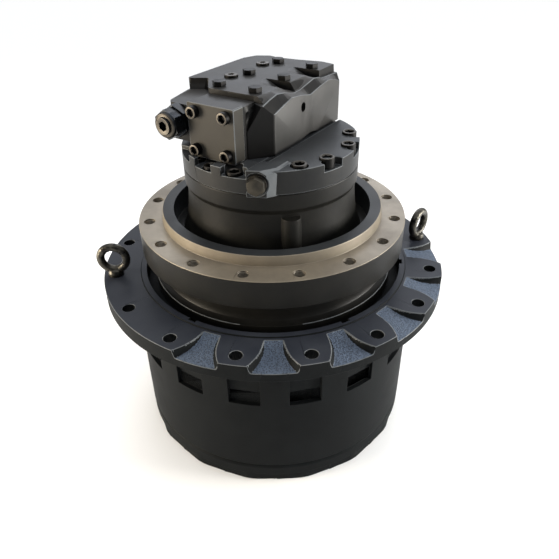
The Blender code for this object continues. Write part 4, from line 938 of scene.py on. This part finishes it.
port.transform(Matrix.Translation(at(BLOCK_RIGHT, 0.0275, LID_TOP - 0.0361)) @ BLOCK_FRAME
               @ Matrix.Rotation(math.pi / 2, 4, "Y") @ Matrix.Rotation(math.pi / 2, 4, "Z"))
carve(main, port)
block_enamel = sprayed_iron("black_enamel_on_valve_block", "#141414", "#1c1b1a", 0.40, 1.6, 0.18)
# Lighter copies of the block enamel: the lid and cast top painted with top light, the machined right side with side
# light; their finer grain is the machining.
lid_top_light_paint = sprayed_iron("machined_lid_with_painted_top_light", "#323232", "#3c3b3a", 0.42, 0.7, 0.06)
right_side_light_paint = sprayed_iron("machined_side_with_painted_side_light", "#373736", "#424140", 0.42, 0.7, 0.06)
# Near-black enamel for the walls of the bolt wells: painted shade, for the shadow in the deep wells.
bolt_well_painted_shade = sprayed_iron("painted_shade_in_bolt_wells", "#0a0a0a", "#121110", 0.50, 1.6, 0.2)


def block_finish(face):
    """Lid and cast top 1, lighter enamel that is painted top light; machined right side 2, lighter enamel that is
    painted side light; painted edge highlights 3; painted shade 4, near black, on the walls of the bolt wells; the
    rest 0.
    """
    place_u, place_v = face.center.dot(E_R), face.center.dot(E_B)
    below = LID_TOP - face.center.z
    # Walls of the bolt wells, facing the front: painted shade.
    if face.normal.dot(E_B) < -0.5 and 0.015 < place_v < 0.125 and below < 0.015 and place_u < 0.036:
        return 4
    # The two chamfer lines of the rolling edge carry a painted highlight.
    if face.normal.z > 0.2 and place_v > -0.100 and (0.0334 < place_u < 0.0351 or 0.0451 < place_u < 0.0461):
        return 3
    if face.normal.dot(E_R) > 0.97 and place_u > BLOCK_RIGHT - 0.0004:
        return 2
    return 1 if face.normal.z > 0.75 and below < 0.0200 else 0


mark_faces(main, block_finish)
shade(main, [block_enamel, lid_top_light_paint, right_side_light_paint, edge_highlight_paint, bolt_well_painted_shade], "spindle_side",
      ["valve_block"], angle=0)

# Side plate over the counterbalance spool: steel bar, sawn, milled and sprayed with the block. It closes the spool's
# bore and is held by four cap screws; its rounded edges carry a painted highlight, and its top the lid's lighter
# enamel, painted top light.
PLATE_SIZE = (0.0870, 0.0240, 0.0840)
PLATE_V = -0.1060
PLATE_SCREW = (0.0095, 0.0100, 0.0060)
PLATE_SCREW_V = -0.1183
PLATE_REACH = 0.029
plate_work = bmesh.new()
block(plate_work, PLATE_SIZE, Matrix.Identity(4))
corners = [e for e in plate_work.edges if abs((e.verts[0].co - e.verts[1].co).normalized().y) > 0.9]
side_plate = as_object("spool_cover_plate", round_edges(plate_work, corners, 0.0030))
side_plate.data.transform(Matrix.Translation(at(SPOOL_U, PLATE_V, SPOOL_Z)) @ BLOCK_FRAME)
soften(side_plate, 0.0010, 2, edge=1)
plate_enamel = sprayed_iron("black_enamel_on_plate", "#2d2b27", "#35332e", 0.44, 0.8, 0.08)
# The plate's top gets the lid's lighter enamel: painted top light.
mark_faces(side_plate, lambda face: 2 if face.normal.z > 0.97 else None)
shade(side_plate, [plate_enamel, edge_highlight_paint, lid_top_light_paint], "spindle_side", ["side_plate"], angle=0)
TO_FRONT = BLOCK_FRAME @ Matrix.Rotation(math.pi / 2, 4, "X")
number = 0
for du in (-PLATE_REACH, PLATE_REACH):
    for dz in (-PLATE_REACH, PLATE_REACH):
        number += 1
        spot = at(SPOOL_U + du, PLATE_SCREW_V, SPOOL_Z + dz)
        socket_head("plate_cap_screw_%d" % number, *PLATE_SCREW, Matrix.Translation(spot) @ TO_FRONT,
                    ["side_plate_screw_%d" % number])

# Relief valve: a screwed-in cartridge of blackened, oiled steel with two hexagons, one to turn it in and one to
# lock it. The turned end carries a socket plug, worn by the key.
RELIEF_FACE_V = -0.1043
RELIEF_NUTS = ((0.0233, 0.0175, 0.0335), (0.0260, 0.0010, 0.0150))
relief = as_object("relief_cartridge", lathe([
    (0.0, 0.0400), (0.0133, 0.0420, 0.0006), (0.0136, 0.0378), (0.0158, 0.0376), (0.0160, 0.0385, 0.0004),
    (0.0192, 0.0372, 0.0012), (0.0205, 0.0330, 0.001), (0.0205, 0.0005), (0.0120, 0.0), (0.0120, -0.0380),
    (0.0, -0.0380)], 64))
for radius, z0, z1 in RELIEF_NUTS:
    nut = bmesh.new()
    rod(nut, radius, z0, z1, Matrix.Rotation(0.12, 4, "Z"), 6)
    carve(relief, nut, "UNION")
socket = bmesh.new()
rod(socket, 0.0080, 0.0280, 0.0500, sides=6)
carve(relief, socket)
mark_faces(relief, lambda p: 1 if p.normal.z > 0.3 and p.center.z > 0.034 else 0)
relief.data.transform(Matrix.Translation(at(RELIEF_U, RELIEF_FACE_V, RELIEF_Z)) @ TO_FRONT)
valve_steel = oiled_steel("blackened_valve_steel", "#262a30", 0.24)
shade(relief, [valve_steel, rim_steel], "spindle_side", ["relief_valve"], angle=30.0)

# The lid's fasteners: six forged hexagon bolts of blackened steel in two rows, and beside them two turned plugs
# with a socket, which close the gauge ports.
BOLT_ACROSS, BOLT_HIGH = 0.0190, 0.0080
GAUGE_PLUG = (0.0115, 0.0040, 0.0050)
GAUGE_U = -0.0780
number = 0
for u in (-0.0620, 0.0060):
    for v in (-0.0470, 0.0330, 0.1210):
        number += 1
        bolt = bmesh.new()
        hexagon_head(bolt, BOLT_ACROSS, BOLT_HIGH, Matrix.Translation(at(u, v, LID_TOP + 0.0002)), 0.4 + number)
        shade(as_object("lid_bolt_%d" % number, bolt), black_screws, "spindle_side",
              ["top_bolt_%d" % number])
for k, v in enumerate((0.0050, 0.0960)):
    socket_head("gauge_port_plug_%d" % (k + 1), *GAUGE_PLUG, Matrix.Translation(at(GAUGE_U, v, LID_TOP + 0.0003)),
                ["gauge_plug_%d" % (k + 1)])

# Two lifting eyes, screwed into sprocket holes at the left and the right: drop-forged steel, a ring on a collar and
# a shank, dark, uneven from the forge and wet with oil.
EYE_RING_R, EYE_WIRE_R, EYE_RISE = 0.0224, 0.0071, 0.0325
EYES = ((1, 270.0), (9, 320.0))  # the hole's number, and the way that the ring faces, in degrees
forged = oiled_steel("forged_eye_steel", "#1d1c1b", 0.24, 1.0, 2.4, "#5a574f", 0.0011)
for k, (index, facing_az) in enumerate(EYES):
    azimuth = FIRST_HOLE + index * SIXTEENTH
    ring = bmesh.new()
    bmesh.ops.create_circle(ring, cap_ends=False, segments=20, radius=EYE_WIRE_R,
                            matrix=Matrix.Translation((EYE_RING_R, 0.0, 0.0)) @ Matrix.Rotation(math.pi / 2, 4, "X"))
    bmesh.ops.spin(ring, geom=ring.verts[:] + ring.edges[:], cent=(0, 0, 0), axis=AXIS, angle=math.tau, steps=56,
                   use_merge=True)
    bmesh.ops.recalc_face_normals(ring, faces=ring.faces)
    ring.transform(Matrix.Translation((0.0, 0.0, EYE_RISE)) @ Matrix.Rotation(math.radians(facing_az), 4, "Z")
                   @ Matrix.Rotation(math.pi / 2, 4, "Y"))
    eye_bolt = as_object("lifting_eye_%d" % (k + 1), lathe([
        (0.0, 0.0130), (0.0095, 0.0125), (0.0118, 0.0105, 0.001), (0.0135, 0.0060, 0.0012), (0.0140, 0.0002, 0.0006),
        (0.0092, 0.0), (0.0092, -0.0235, 0.001), (0.0, -0.0235)], 48))
    carve(eye_bolt, ring, "UNION")
    eye_bolt.data.transform(place_round(PAD_CIRCLE, azimuth, FLANGE_TOP + 0.0003) @ Matrix.Rotation(-azimuth, 4, "Z"))
    shade(eye_bolt, forged, "drum_side", ["eye_bolt_%d" % (k + 1)])

# The pieces inside, such as the gears, carriers, bearings, seals, brake and rotor: turned, hobbed and ground parts.
# They keep their CAD form and get the finish of their metal, which is steel, gear steel or bronze.
bronze = ground_steel("turned_bronze", "#a07c48", 0.36)
bearing_steel = ground_steel("ground_bearing_steel", "#9a9893", 0.22)
turned_steel = ground_steel("turned_shaft_steel", "#7d7a74", 0.38)
FINISH = {"gear_steel": gear_steel, "bearing_bronze": bronze, "machined_steel": turned_steel}
shown = {n for n, o in frame["nodes"].items() if not o.hide_render}
for part in frame["record"]["subparts"]:
    if part["node"] in shown:
        mat = FINISH.get(part["material_slot"], black_screws)
        if "bearing" in part["node"] or "roller" in part["node"]:
            mat = bearing_steel
        frame["nodes"][part["node"]].data.materials.clear()
        frame["nodes"][part["node"]].data.materials.append(mat)
